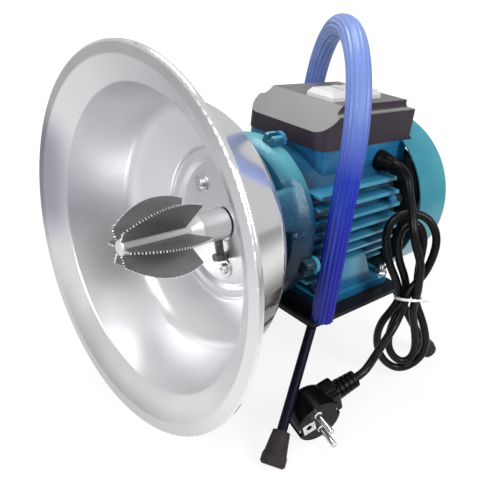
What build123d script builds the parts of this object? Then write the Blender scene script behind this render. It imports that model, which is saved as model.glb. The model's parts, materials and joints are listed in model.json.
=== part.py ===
from build123d import *
import math
import os

# Electric coconut scraper: a catch bowl and a bladed burr on the shaft of a small
# fan-cooled motor, carried by a steel plate on four splayed legs.
# Millimetres. X is across the machine, +Y runs from the bowl to the fan, +Z is up,
# z = 0 is the floor. While a piece is built, y = 0 is the face that the bowl sits on.
# Every piece is moved by Y_CENTRE at the end, so that the origin is under its middle.

# ---------------------------------------------------------------- driving sizes
SHAFT_HEIGHT = 146.4       # shaft axis above the floor
RUN = 0.03                 # radial clearance of a shaft or screw in its bore
SEAT = 0.3                 # gap between curved neighbours

BOWL_R = 140.0             # outside of the rolled rim
BOWL_DEPTH = 91.5          # rim to the seat on the motor
BOWL_WALL = 1.5
BOWL_FLANGE = 9.0          # width of the flat rim
BOWL_BAND_R = 113.5        # inner edge of the slanted band
BOWL_BAND_DEPTH = 12.7     # rim to that edge
BOWL_SHOULDER_R = 97.0     # where the wall turns into the bottom
BOWL_SHOULDER_Y = 25.0     # that turn, in front of the seat
BOWL_STEP_R = 63.0         # outer step ring of the bottom
BOWL_HOLE_R = 14.5         # clears the shaft, behind the sleeve of the burr
BOWL_SCREW_R = 38.0        # pitch radius of its screws
BOWL_SCREW_D = 5.0
BOWL_WASHER_R = 8.0
WASHER_T = 1.2

SHIELD_R = 70.0            # front end shield
HUB_WALL = 4.2             # hub of the end shield, round the front bearing
SHIELD_LEN = 32.5          # seat of the bowl to the housing joint
SHIELD_RIM = 12.5          # length of its thick rim
SEAT_R = 47.0              # ring that the bowl is screwed to
SEAT_T = 5.0
EAR_R = 71.0               # pitch radius of the ears
EAR_SIZE = 7.0             # radius of an ear
EAR_LEN = 9.5
HOUSING_EAR_LEN = 4.0
EAR_HEAD_H = 3.0
EAR_ANGLE = -13.0          # first ear, measured from +X towards +Z
EAR_BOLT_D = 5.0

HOUSING_LEN = 109.5
HOUSING_BORE_R = 55.0
HOUSING_WALL = 5.0
FIN_TIP_R = 70.0
FIN_PITCH = 10.4
FIN_T = 2.6
FIN_Y0 = 59.0              # fins start behind the near arm of the handle
FIN_ROWS = 4               # rows above and below the shaft
REAR_SHIELD_R = 59.2
REAR_SHIELD_T = 12.0

BEARING_R = 20.0           # 6203: 40 x 17 x 12
BEARING_BORE_R = 8.5
BEARING_T = 12.0
SEAL_R = 15.0
SEAL_T = 7.0
SHAFT_NOSE_R = 7.0
SHAFT_CORE_R = 10.0
FRONT_BEARING_Y = 12.0
REAR_BEARING_BACK = 1.0    # housing to the rear bearing
AIR_GAP = 0.4
CORE_LEN = 62.0
CORE_Y = 58.0
STATOR_BORE_R = 33.0
WINDING_LEN = 17.0

COWL_R = 77.6
COWL_T = 1.2
COWL_BACK = 20.8           # housing to the front edge of the cowl
COWL_LEN = 48.8
COWL_CORNER = 9.0
FAN_R = 66.0
FAN_BACK = 18.2            # front edge of the cowl to the fan
FAN_LEN = 18.0
FAN_BLADES = 8

BURR_TIP_Y = -97.0
BURR_TUBE_R = 6.2
BURR_SLEEVE_R = 12.7
BURR_SLEEVE_LEN = 27.0
BURR_LEN = 64.5            # length of a blade along the shaft
BURR_R = 32.4              # largest radius of a blade, over its teeth
BURR_BELLY = 42.0          # where that is, behind the front edge
BURR_NOSE_R = 14.6         # radius at the front edge
BLADE_T = 1.6
BLADES = 6
BLADE_TURN = 8.4           # degrees of the first blade
BLADE_SLANT = 9.0          # the rear edge runs forward by this much to its root
TEETH = 30                 # along the outer edge of each blade
NOSE_TEETH = 3
TOOTH_H = 1.2
CLAMP_D = 7.0
CLAMP_HEAD = 12.0          # across the flats
CLAMP_HEAD_H = 5.2
CLAMP_LEN = 17.0
CLAMP_Y = -7.8
CLAMP_TURN = 160.0         # degrees from straight up, leaning to +X

PLATE_HALF = 79.5
PLATE_T = 4.0
PLATE_DROP = 66.4          # shaft to the top of the plate
PLATE_Y0 = 35.7
PLATE_BACK = 18.0          # housing to the plate's rear edge
FOOT_HALF = 66.0
FOOT_WALL_X = 62.0         # outside of the foot's side walls
FOOT_T = 7.0
FOOT_Y0 = 60.0
FOOT_BACK = 15.0           # housing to the foot's rear end
FOOT_WEB_Y1 = 122.0
FOOT_BOLT_X = (46.0, 58.5)
FOOT_BOLT_IN = (14.0, 6.0)  # from the front and rear ends of the foot
FOOT_BOLT_D = 6.0
LEG_D = 8.0
FERRULE_TOP_D = 13.5
FERRULE_FOOT_D = 19.5
FERRULE_LEN = 24.0
FRONT_FOOT = (119.0, -36.1)
REAR_FOOT = (101.0, 203.4)

PEDESTAL_HALF = 43.9
PEDESTAL_Y0 = 57.5
PEDESTAL_BACK = 33.0       # housing to its rear end
PEDESTAL_H = 63.9          # above the shaft
PEDESTAL_WALL = 4.5
SHELF_T = 9.0              # pedestal behind the housing
BOX_X = -2.4                # middle of the terminal box, off the shaft line
COVER_HALF = 45.5
COVER_Y0 = 56.0
COVER_LIP = 1.3            # past the rear end of the pedestal
COVER_EDGE_H = 13.7        # height of the front wall
COVER_SIDE_H = 26.0        # height of the side walls
COVER_TOP_H = 33.6         # height of the raised top
COVER_LEDGE = 6.0
COVER_COVE = 5.0           # hollow between ledge and raised top
COVER_WALL = 2.5
SLOPE_RUN = 24.0           # front wall to the top, along y
COVER_POST_H = 6.0         # posts of the cover screws above the pedestal
SWITCH_W = 28.0
SWITCH_L = 64.0
SWITCH_H = 7.0
SWITCH_AT = (11.0, 112.5)  # middle of the switch plate
ROCKER_W = 13.0
ROCKER_L = 21.0
ROCKER_SINK = 2.6          # pin below the top of the switch plate
POCKET_FLOOR = 0.6
PIN_D = 2.0

HOSE_R = 9.5
HOSE_BORE_R = 4.3
HANDLE_ROD_R = 4.0
HANDLE_RISE = 153.1        # shaft to the top of the handle
HANDLE_NEAR = (77.0, 49.0)
HANDLE_FAR_X = -59.7
HANDLE_FAR_BACK = 10.5     # housing to the far side of the handle
HANDLE_BEND_R = 82.0

CORD_D = 7.0
GLAND_IN = 5.0             # cord outlet, in front of the housing's rear end
GLAND_UP = 48.0            # above the shaft
GLAND_R = 9.2
GLAND_LEN = 18.0
HANK_AT = (103.7, 134.4, 86.0)
HANK_TURN = 48.3           # degrees from +X, the way that the hank spreads
HANK_T = 15.0
HANK_WAIST_D = 21.6
HANK_WAIST_X = -1.4        # middle of the waist, across the spread
TIE_W = 3.0
TIE_T = 1.2
PLUG_AT = (118.5, 14.4, 19.5)
PLUG_PIN_WAY = (0.972, -0.212, -0.099)
PLUG_CORD_WAY = (0.234, 0.889, 0.393)
PLUG_R = 19.5
PLUG_DEPTH = 25.0
PLUG_PIN_D = 4.8
PLUG_PIN_LEN = 19.0
PLUG_ROOT_D = 3.6          # part of a pin that is buried in the plug
PLUG_ROOT_LEN = 8.0
PLUG_PIN_PITCH = 19.0
PLUG_EARTH_X = -9.5        # earth contact in the face, on the side away from the cord
PLUG_EARTH_W = 8.0
RELIEF_START = 3.0         # outside of the plug's radius
RELIEF_LEN = 23.5
RELIEF_R = 7.0
RELIEF_DROP = 16.0         # its middle line, behind the face

# ---------------------------------------------------------------- worked out
HOUSING_Y0 = SHIELD_LEN
HOUSING_Y1 = HOUSING_Y0 + HOUSING_LEN
HUB_R = BEARING_R + HUB_WALL
REAR_BEARING_Y = HOUSING_Y1 + REAR_BEARING_BACK
COWL_Y = HOUSING_Y1 + COWL_BACK
FAN_Y = COWL_Y + FAN_BACK
PLATE_TOP = SHAFT_HEIGHT - PLATE_DROP
PLATE_Y1 = HOUSING_Y1 + PLATE_BACK
FOOT_Y1 = HOUSING_Y1 + FOOT_BACK
FOOT_BOLTS = ((FOOT_BOLT_X[0], FOOT_Y0 + FOOT_BOLT_IN[0]), (FOOT_BOLT_X[1], FOOT_Y1 - FOOT_BOLT_IN[1]))
PEDESTAL_Y1 = HOUSING_Y1 + PEDESTAL_BACK
HANDLE_TOP = SHAFT_HEIGHT + HANDLE_RISE
HANDLE_FAR = (HANDLE_FAR_X, HOUSING_Y1 + HANDLE_FAR_BACK)
PEDESTAL_TOP = SHAFT_HEIGHT + PEDESTAL_H
COVER_Y1 = PEDESTAL_Y1 + COVER_LIP
GLAND_AT = (HOUSING_Y1 - GLAND_IN, SHAFT_HEIGHT + GLAND_UP)
HOUSING_R = HOUSING_BORE_R + HOUSING_WALL
COWL_Y1 = COWL_Y + COWL_LEN
CORE_Y1 = CORE_Y + CORE_LEN
Y_CENTRE = -(BURR_TIP_Y + COWL_Y1) / 2
PLATE_BOTTOM = PLATE_TOP - PLATE_T
FOOT_TOP = PLATE_TOP + FOOT_T
SIDE_X = BOX_X + PEDESTAL_HALF
COVER_TOP = PEDESTAL_TOP + COVER_TOP_H
COVER_SIDE_TOP = PEDESTAL_TOP + COVER_SIDE_H
SCREW_ANGLES = [140.0 + 72.0 * i for i in range(5)]
ARM_ANGLES = [45.0, 135.0, 225.0, 315.0]
FRONT_EARS = [EAR_ANGLE + 90.0 * i for i in range(4)]
REAR_EARS = [15.0, 165.0, 235.0, 305.0]
COWL_SCREWS = [200.0, 270.0, 320.0]
SHAFT_LINE = Location((0, 0, SHAFT_HEIGHT), (-90, 0, 0))


# ---------------------------------------------------------------- helpers
def ring_of(*outline):
    """Turn an outline of (radius, y) points about the shaft."""
    face = Plane.XZ * make_face(Polyline(*outline, close=True))
    return SHAFT_LINE * revolve(face, Axis.Z)


def on_shaft(angle, radius=0.0, y=0.0):
    """A place at an angle round the shaft: local Z runs along +Y, local X outwards."""
    return SHAFT_LINE * Rot(0, 0, -angle) * Pos(radius, 0, y)


def rod_y(radius, length, angle, pitch_r, y):
    """A rod along +Y that starts at y, on a pitch radius round the shaft."""
    return on_shaft(angle, pitch_r, y) * Cylinder(radius, length, align=BASE)


def hexagon(flats, height):
    """A hexagonal prism that stands on its own origin."""
    return extrude(RegularPolygon(flats / 2, 6, major_radius=False), height)


def block(x0, x1, y0, y1, z0, z1):
    """A box between two corners."""
    return Pos(x0, y0, z0) * Box(x1 - x0, y1 - y0, z1 - z0, align=Align.MIN)


def rod_between(start, end, radius):
    """A straight round rod between two points."""
    way = Vector(end) - Vector(start)
    return Plane(origin=start, z_dir=way) * Cylinder(radius, way.length, align=BASE)


BASE = (Align.CENTER, Align.CENTER, Align.MIN)


# ---------------------------------------------------------------- bowl
def make_bowl():
    """Spun aluminium bowl of even wall: rolled rim, slanted band, wall, stepped bottom."""
    half = BOWL_WALL / 2
    rim_y = -BOWL_DEPTH + half
    band_out = BOWL_R - BOWL_FLANGE
    line = [
        (BOWL_R - half, rim_y + 2.8),
        (BOWL_R - half, rim_y),
        (band_out, rim_y),
        (BOWL_BAND_R, -BOWL_DEPTH + BOWL_BAND_DEPTH),
        (BOWL_SHOULDER_R, -BOWL_SHOULDER_Y),
        (BOWL_STEP_R, -9.0),
        (BOWL_STEP_R - 1.5, -5.0),
        (BOWL_STEP_R - 8.0, -4.0),
        (BOWL_STEP_R - 11.5, -half),
        (BOWL_HOLE_R, -half),
    ]
    bends = [1.6, 2.0, 2.0, 18.0, 2.0, 1.2, 1.4, 1.4]
    path = FilletPolyline(*line, radius=bends)
    section = Plane.XZ * trace(path, BOWL_WALL)
    bowl = SHAFT_LINE * revolve(section, Axis.Z)
    for angle in SCREW_ANGLES:
        bowl -= rod_y(BOWL_SCREW_D / 2 + RUN, 3 * BOWL_WALL, angle, BOWL_SCREW_R, -2 * BOWL_WALL)
    return bowl


def make_bowl_washers():
    """Big flat washers that spread the screw heads' load on the thin bowl."""
    washers = []
    for angle in SCREW_ANGLES:
        ring = rod_y(BOWL_WASHER_R, WASHER_T, angle, BOWL_SCREW_R, -BOWL_WALL - WASHER_T)
        ring -= rod_y(BOWL_SCREW_D / 2 + RUN, 3 * WASHER_T, angle, BOWL_SCREW_R, -BOWL_WALL - 2 * WASHER_T)
        washers.append(ring)
    return Compound(washers)


def make_bowl_screws():
    """Pan-head screws through washer and bowl into the arms of the end shield."""
    screws = []
    head_y = -BOWL_WALL - WASHER_T
    for angle in SCREW_ANGLES:
        place = on_shaft(angle, BOWL_SCREW_R, head_y)
        head = Pos(0, 0, -2.8) * Cylinder(4.6, 2.8, align=BASE)
        head = fillet(head.edges().group_by(Axis.Z)[0], 1.6)
        head -= Pos(0, 0, -2.8) * Box(1.0, 5.5, 2.4)
        head -= Pos(0, 0, -2.8) * Box(5.5, 1.0, 2.4)
        shank = Cylinder(BOWL_SCREW_D / 2, 14.0, align=BASE)
        screws.append(place * (head + shank))
    return Compound(screws)


# ---------------------------------------------------------------- motor
def ear(angle, y, length):
    """A cast ear that bridges from the body to its bolt hole."""
    lug = Cylinder(EAR_SIZE, length, align=BASE)
    lug += Pos(-EAR_SIZE, 0, length / 2) * Box(2 * EAR_SIZE, 2 * EAR_SIZE - 3, length)
    return on_shaft(angle, EAR_R, y) * lug


def make_front_shield():
    """Cast front end shield: hub, dished web, thick rim, four arms and four ears."""
    rim_y = SHIELD_LEN - SHIELD_RIM
    spigot_r = HOUSING_BORE_R - RUN
    bearing_end = FRONT_BEARING_Y + BEARING_T
    hub = ring_of(
        (SHAFT_CORE_R + 1.5, 0), (HUB_R, 0), (HUB_R, bearing_end),
        (BEARING_R + RUN, bearing_end), (BEARING_R + RUN, FRONT_BEARING_Y),
        (SEAL_R + 1, FRONT_BEARING_Y), (SEAL_R + 1, FRONT_BEARING_Y - 2.0),
        (SEAL_R + RUN, FRONT_BEARING_Y - 2.0), (SEAL_R + RUN, 1.5), (SHAFT_CORE_R + 1.5, 1.5),
    )
    web = ring_of(
        (HUB_R - 1, 15.0), (SHIELD_R - 6, rim_y - 2), (SHIELD_R - 6, rim_y + 4), (HUB_R - 1, 21.0),
    )
    rim = ring_of(
        (SHIELD_R - 7, rim_y - 3), (SHIELD_R - 3, rim_y - 3), (SHIELD_R, rim_y),
        (SHIELD_R, SHIELD_LEN), (spigot_r, SHIELD_LEN), (spigot_r, SHIELD_LEN + 4),
        (spigot_r - 4, SHIELD_LEN + 4), (spigot_r - 4, rim_y + 6), (SHIELD_R - 7, rim_y + 2),
    )
    shield = hub + web + rim
    arm_line = Polyline(
        (HUB_R - 2, 0), (BOWL_SCREW_R + 14, 0), (SHIELD_R - 3, rim_y - 4),
        (SHIELD_R - 3, rim_y + 2), (HUB_R - 2, 18), close=True,
    )
    seat = ring_of((HUB_R - 1, 0), (SEAT_R, 0), (SEAT_R, SEAT_T), (HUB_R - 1, SEAT_T))
    shield += seat
    for angle in ARM_ANGLES:
        arm = extrude(Plane.XZ * make_face(arm_line), 8.5, both=True)
        shield += on_shaft(angle) * arm
    for angle in FRONT_EARS:
        shield += ear(angle, SHIELD_LEN - EAR_LEN, EAR_LEN)
    for angle in SCREW_ANGLES:
        shield += rod_y(BOWL_SCREW_D, SEAT_T + 8.0, angle, BOWL_SCREW_R, 0)
    for angle in SCREW_ANGLES:
        shield -= rod_y(BOWL_SCREW_D / 2 + RUN, 14.0, angle, BOWL_SCREW_R, -1.0)
    for angle in FRONT_EARS:
        shield -= rod_y(EAR_BOLT_D / 2 + RUN, EAR_LEN, angle, EAR_R, SHIELD_LEN - EAR_LEN + 3)
    return shield


def fins():
    """Level cooling fins on both sides, cut to a round outline."""
    rows = []
    for row in range(-FIN_ROWS, FIN_ROWS):
        z = SHAFT_HEIGHT + (row + 0.5) * FIN_PITCH
        rows.append(block(-FIN_TIP_R, FIN_TIP_R, FIN_Y0, HOUSING_Y1, z - FIN_T / 2, z + FIN_T / 2))
    plates = Compound(rows)
    tip = ring_of(
        (HOUSING_BORE_R + 1, HOUSING_Y0), (FIN_TIP_R, HOUSING_Y0),
        (FIN_TIP_R, HOUSING_Y1), (HOUSING_BORE_R + 1, HOUSING_Y1),
    )
    return plates & tip


def foot_bolt_places():
    """Middle of each bolt that holds the foot on the plate."""
    return [(side * x, y) for x, y in FOOT_BOLTS for side in (-1, 1)]


def foot():
    """Cast foot: a flat sole with a hollow pedestal that carries the housing."""
    sole = block(-FOOT_HALF, FOOT_HALF, FOOT_Y0, FOOT_Y1, PLATE_TOP, FOOT_TOP)
    corners = sole.edges().filter_by(Axis.Z)
    sole = fillet(corners, 8.0)
    top_z = SHAFT_HEIGHT - 24.0
    side = Polyline(
        (FOOT_Y0, PLATE_TOP), (FOOT_WEB_Y1 + 14, PLATE_TOP), (FOOT_WEB_Y1 - 10, top_z),
        (FOOT_Y0 + 10, top_z), close=True,
    )
    wide = extrude(Plane.YZ * make_face(side), FOOT_WALL_X, both=True)
    inner = FOOT_WALL_X - 6.0
    pocket = block(-inner, inner, FOOT_Y0 - 1, FOOT_Y1, PLATE_TOP - 1, top_z + 1)
    walls = wide - pocket
    web = block(-inner - 2, inner + 2, FOOT_Y0 + 24, FOOT_Y0 + 30, PLATE_TOP + 1, top_z - 1)
    return sole + walls + web


def pedestal():
    """Cast box under the terminal cover, open at the top."""
    outer = block(BOX_X - PEDESTAL_HALF, SIDE_X, PEDESTAL_Y0, HOUSING_Y1, SHAFT_HEIGHT + 30, PEDESTAL_TOP)
    shelf = block(
        BOX_X - PEDESTAL_HALF, SIDE_X, HOUSING_Y1 - 1, PEDESTAL_Y1, PEDESTAL_TOP - SHELF_T, PEDESTAL_TOP,
    )
    body = outer + shelf
    uprights = body.edges().filter_by(Axis.Z).group_by(Axis.Y)[0]
    body = fillet(uprights, 10.0)
    return body


def make_housing():
    """Motor housing in one casting: bore, fins, ears, foot and terminal pedestal."""
    barrel = ring_of(
        (0, HOUSING_Y0), (HOUSING_R, HOUSING_Y0), (HOUSING_R, HOUSING_Y1), (0, HOUSING_Y1),
    )
    body = barrel + fins() + foot() + pedestal()
    for angle in FRONT_EARS:
        body += ear(angle, HOUSING_Y0, HOUSING_EAR_LEN)
    for angle in REAR_EARS:
        body += rod_y(EAR_SIZE, EAR_LEN, angle, HOUSING_R, HOUSING_Y1 - EAR_LEN)
    bore = ring_of((0, HOUSING_Y0 - 1), (HOUSING_BORE_R, HOUSING_Y0 - 1),
                   (HOUSING_BORE_R, HOUSING_Y1 + 1), (0, HOUSING_Y1 + 1))
    body -= bore
    inside = PEDESTAL_HALF - PEDESTAL_WALL
    room = block(BOX_X - inside, BOX_X + inside, PEDESTAL_Y0 + PEDESTAL_WALL, PEDESTAL_Y1 - PEDESTAL_WALL,
                 PEDESTAL_TOP - 5.0, PEDESTAL_TOP + 1)
    well = block(BOX_X - inside, BOX_X + inside, PEDESTAL_Y0 + PEDESTAL_WALL, HOUSING_Y1 - 12.0,
                 SHAFT_HEIGHT, PEDESTAL_TOP + 1)
    tube = ring_of((0, HOUSING_Y0), (HOUSING_R, HOUSING_Y0), (HOUSING_R, HOUSING_Y1), (0, HOUSING_Y1))
    body -= room + (well - tube)
    body -= Pos(0, PEDESTAL_Y0 + 20, SHAFT_HEIGHT + HOUSING_R) * Cylinder(7.0, 14.0)
    gland_y, gland_z = GLAND_AT
    body -= Pos(SIDE_X - PEDESTAL_WALL, gland_y, gland_z) * Rot(0, 90, 0) * Cylinder(
        CORD_D / 2 + 1, 3 * PEDESTAL_WALL)
    body -= Pos(SIDE_X, gland_y, gland_z) * Rot(0, 90, 0) * Cylinder(GLAND_R + 0.1, 30.0, align=BASE)
    for angle in FRONT_EARS:
        body -= rod_y(EAR_BOLT_D / 2 + RUN, HOUSING_EAR_LEN + 2, angle, EAR_R, HOUSING_Y0 - 1)
    for angle in REAR_EARS:
        body -= rod_y(EAR_BOLT_D / 2 + RUN, EAR_LEN, angle, HOUSING_R, HOUSING_Y1 - EAR_LEN + 2)
    for x, y in foot_bolt_places():
        body -= Pos(x, y, PLATE_TOP - 1) * Cylinder(FOOT_BOLT_D / 2 + RUN, FOOT_T + 2, align=BASE)
    for x, y in cover_screw_places():
        post_foot = SHAFT_HEIGHT + HOUSING_R - 3.0
        post_top = PEDESTAL_TOP + COVER_POST_H
        body += Pos(x, y, post_foot) * Cylinder(4.0, post_top - post_foot, align=BASE)
        body -= Pos(x, y, post_foot + 4.0) * Cylinder(2.0 + RUN, post_top - post_foot, align=BASE)
    return body


def make_shield_bolts():
    """Bolts from behind the front ears into the front end shield."""
    bolts = []
    for angle in FRONT_EARS:
        place = on_shaft(angle, EAR_R, HOUSING_Y0 + HOUSING_EAR_LEN)
        head = hexagon(8.0, EAR_HEAD_H)
        shank = Pos(0, 0, -10.0) * Cylinder(EAR_BOLT_D / 2, 10.0, align=BASE)
        bolts.append(place * (head + shank))
    return Compound(bolts)


def make_rear_shield():
    """Rear end shield with bearing seat, bolt ears and three lugs for the cowl."""
    spigot_r = HOUSING_BORE_R - RUN
    y0 = HOUSING_Y1
    y1 = y0 + REAR_SHIELD_T
    bearing_end = REAR_BEARING_Y + BEARING_T
    shield = ring_of(
        (SHAFT_CORE_R + 1, bearing_end + 1), (SHAFT_CORE_R + 1, bearing_end + 4),
        (BEARING_R + 5, bearing_end + 4),
        (BEARING_R + 5, y1 - 4), (REAR_SHIELD_R, y1 - 4), (REAR_SHIELD_R, y0), (spigot_r, y0),
        (spigot_r, y0 - 4), (spigot_r - 4, y0 - 4), (spigot_r - 4, y0 + 2), (BEARING_R + 5, y0 + 2),
        (BEARING_R + 5, REAR_BEARING_Y - 2), (BEARING_R + RUN, REAR_BEARING_Y - 2),
        (BEARING_R + RUN, bearing_end + 1),
    )
    for angle in REAR_EARS:
        shield += rod_y(EAR_SIZE, REAR_SHIELD_T - 4, angle, HOUSING_R, y0)
    lug_r = COWL_R - COWL_T
    for angle in COWL_SCREWS:
        arm = block(-6, 3.5, -6, 6, y1 - 8, COWL_Y + 12)
        lug = block(0, COWL_R - HOUSING_BORE_R, -6, 6, COWL_Y - 1.5, COWL_Y + 12)
        shield += on_shaft(angle, HOUSING_BORE_R) * (arm + lug)
    round_cut = ring_of((0, y0 - 5), (lug_r - 0.05, y0 - 5), (lug_r - 0.05, COWL_Y + 13), (0, COWL_Y + 13))
    shield = shield & round_cut
    shield -= block(-60, 60, y0, COWL_Y + 20, PEDESTAL_TOP - SHELF_T - SEAT, PEDESTAL_TOP + 40)
    for angle in REAR_EARS:
        shield -= rod_y(EAR_BOLT_D / 2 + RUN, REAR_SHIELD_T, angle, HOUSING_R, y0 - 1)
    gland_y, gland_z = GLAND_AT
    shield -= Pos(SIDE_X, gland_y, gland_z) * Rot(0, 90, 0) * Cylinder(GLAND_R + SEAT, 60.0)
    for angle in COWL_SCREWS:
        hole = Rot(0, 90, 0) * Cylinder(2.0 + RUN, 9.0)
        shield -= on_shaft(angle, lug_r - 3.5, COWL_Y + 6) * hole
    return shield


def make_rear_bolts():
    """Bolts that hold the rear end shield to the housing."""
    bolts = []
    for angle in REAR_EARS:
        place = on_shaft(angle, HOUSING_R, HOUSING_Y1 + REAR_SHIELD_T - 4)
        shank = Pos(0, 0, -REAR_SHIELD_T) * Cylinder(EAR_BOLT_D / 2, REAR_SHIELD_T, align=BASE)
        bolts.append(place * (hexagon(8.0, EAR_HEAD_H) + shank))
    return Compound(bolts)


def make_bearing(y):
    """Ball bearing as one ring with shielded, recessed faces."""
    return ring_of(
        (BEARING_BORE_R, y), (BEARING_BORE_R + 3, y), (BEARING_BORE_R + 3, y + 0.8), (BEARING_R - 3, y + 0.8),
        (BEARING_R - 3, y), (BEARING_R, y), (BEARING_R, y + BEARING_T), (BEARING_R - 3, y + BEARING_T),
        (BEARING_R - 3, y + BEARING_T - 0.8), (BEARING_BORE_R + 3, y + BEARING_T - 0.8),
        (BEARING_BORE_R + 3, y + BEARING_T), (BEARING_BORE_R, y + BEARING_T),
    )


def make_seal():
    """Lip seal that keeps juice out of the front bearing."""
    lip_r = SHAFT_CORE_R - 1.0
    y = 1.5
    return ring_of(
        (lip_r + RUN, y), (SEAL_R, y), (SEAL_R, y + SEAL_T), (SEAL_R - 1.5, y + SEAL_T),
        (SEAL_R - 1.5, y + 2), (lip_r + 2, y + 2), (lip_r + RUN, y + 3.5),
    )


def make_wave_washer():
    """Spring washer between the rear bearing and its seat."""
    y = REAR_BEARING_Y + BEARING_T
    return ring_of((BEARING_R - 5, y), (BEARING_R - 0.5, y), (BEARING_R - 0.5, y + 1), (BEARING_R - 5, y + 1))


def make_stator_core():
    """Pack of stator sheets, pressed into the bore."""
    return ring_of(
        (STATOR_BORE_R, CORE_Y), (HOUSING_BORE_R - RUN, CORE_Y),
        (HOUSING_BORE_R - RUN, CORE_Y1), (STATOR_BORE_R, CORE_Y1),
    )


def make_winding(y):
    """End turns of the winding, a rounded ring on the face of the core."""
    inner = STATOR_BORE_R + 2.0
    outer = HOUSING_BORE_R - 6.0
    return ring_of(
        (inner, y), (outer, y), (outer, y + WINDING_LEN - 4), (outer - 3, y + WINDING_LEN),
        (inner + 3, y + WINDING_LEN), (inner, y + WINDING_LEN - 4),
    )


# ---------------------------------------------------------------- rotor
def make_shaft():
    """Stepped shaft from the burr sleeve to the fan."""
    nose_y = 2.0 - BURR_SLEEVE_LEN
    fan_end = FAN_Y + FAN_LEN
    seat_r = BEARING_BORE_R - 0.02
    return ring_of(
        (0, nose_y), (SHAFT_NOSE_R - 1, nose_y), (SHAFT_NOSE_R, nose_y + 1), (SHAFT_NOSE_R, -0.5),
        (SHAFT_CORE_R - 1, -0.5), (SHAFT_CORE_R - 1, FRONT_BEARING_Y - 2), (seat_r, FRONT_BEARING_Y - 2),
        (seat_r, FRONT_BEARING_Y + BEARING_T + 0.5), (SHAFT_CORE_R, FRONT_BEARING_Y + BEARING_T + 0.5),
        (SHAFT_CORE_R, REAR_BEARING_Y - 0.5), (seat_r, REAR_BEARING_Y - 0.5),
        (seat_r, REAR_BEARING_Y + BEARING_T + 6), (SHAFT_NOSE_R, REAR_BEARING_Y + BEARING_T + 6),
        (SHAFT_NOSE_R, fan_end), (SHAFT_NOSE_R - 1, fan_end + 1), (0, fan_end + 1),
    )


def make_rotor_core():
    """Cast-cage rotor: core with end rings."""
    r = STATOR_BORE_R - AIR_GAP
    bore = SHAFT_CORE_R + RUN
    return ring_of(
        (bore, CORE_Y), (r - 10, CORE_Y), (r - 10, CORE_Y - 7), (r - 2, CORE_Y - 7), (r - 2, CORE_Y),
        (r, CORE_Y), (r, CORE_Y1), (r - 2, CORE_Y1), (r - 2, CORE_Y1 + 7), (r - 10, CORE_Y1 + 7),
        (r - 10, CORE_Y1), (bore, CORE_Y1),
    )


def make_fan():
    """Moulded fan with straight radial blades, so it works both ways round."""
    hub_r = 14.0
    disc_t = 2.5
    fan = ring_of(
        (SHAFT_NOSE_R + RUN, FAN_Y), (FAN_R - 4, FAN_Y), (FAN_R - 4, FAN_Y + disc_t), (hub_r, FAN_Y + disc_t),
        (hub_r, FAN_Y + FAN_LEN - 2), (SHAFT_NOSE_R + RUN, FAN_Y + FAN_LEN - 2),
    )
    outline = Polyline(
        (hub_r - 2, 1), (FAN_R, 1), (FAN_R, FAN_LEN - 6), (FAN_R - 14, FAN_LEN), (hub_r - 2, FAN_LEN - 4),
        close=True,
    )
    for i in range(FAN_BLADES):
        blade = extrude(Plane.XZ * make_face(outline), 1.1, both=True)
        fan += on_shaft(360.0 * i / FAN_BLADES, 0, FAN_Y) * blade
    fan -= ring_of((0, FAN_Y - 1), (SHAFT_NOSE_R + RUN, FAN_Y - 1),
                   (SHAFT_NOSE_R + RUN, FAN_Y + FAN_LEN + 1), (0, FAN_Y + FAN_LEN + 1))
    return fan


def make_burr_hub():
    """Tube that carries the blades, swelling into the sleeve that slips on the shaft."""
    sleeve_y = -2.0 - BURR_SLEEVE_LEN
    neck_y = sleeve_y - 7.0
    front = BURR_TIP_Y + TOOTH_H
    hub = ring_of(
        (0, front), (BURR_TUBE_R - 1, front), (BURR_TUBE_R, front + 1),
        (BURR_TUBE_R, neck_y), (BURR_SLEEVE_R, sleeve_y), (BURR_SLEEVE_R, -2.0),
        (SHAFT_NOSE_R + RUN, -2.0), (SHAFT_NOSE_R + RUN, sleeve_y + 3.5), (0, sleeve_y + 3.5),
    )
    hub -= clamp_place() * Cylinder(CLAMP_D / 2 + RUN, BURR_SLEEVE_R + 2, align=BASE)
    return hub


def clamp_place():
    """Where the clamp bolt stands: local Z runs out from the shaft, downwards."""
    return Pos(0, CLAMP_Y, SHAFT_HEIGHT) * Rot(0, CLAMP_TURN, 0)


def make_clamp_bolt():
    """Hexagon bolt that locks the sleeve on the shaft."""
    tip = SHAFT_NOSE_R + RUN
    head_at = tip + CLAMP_LEN
    bolt = Pos(0, 0, tip) * Cylinder(CLAMP_D / 2, CLAMP_LEN, align=BASE)
    head = hexagon(CLAMP_HEAD, CLAMP_HEAD_H)
    dome = Cylinder(CLAMP_HEAD / 2 * 1.12, CLAMP_HEAD_H, align=BASE)
    head = head & chamfer(dome.edges().group_by(Axis.Z)[-1], 0.8)
    return clamp_place() * (bolt + Pos(0, 0, head_at) * head)


def blade_radius(reach):
    """Radius at the foot of the teeth, at a distance behind the front edge."""
    peak = BURR_R - TOOTH_H
    return peak - (peak - BURR_NOSE_R) * ((reach - BURR_BELLY) / BURR_BELLY) ** 2


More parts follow.
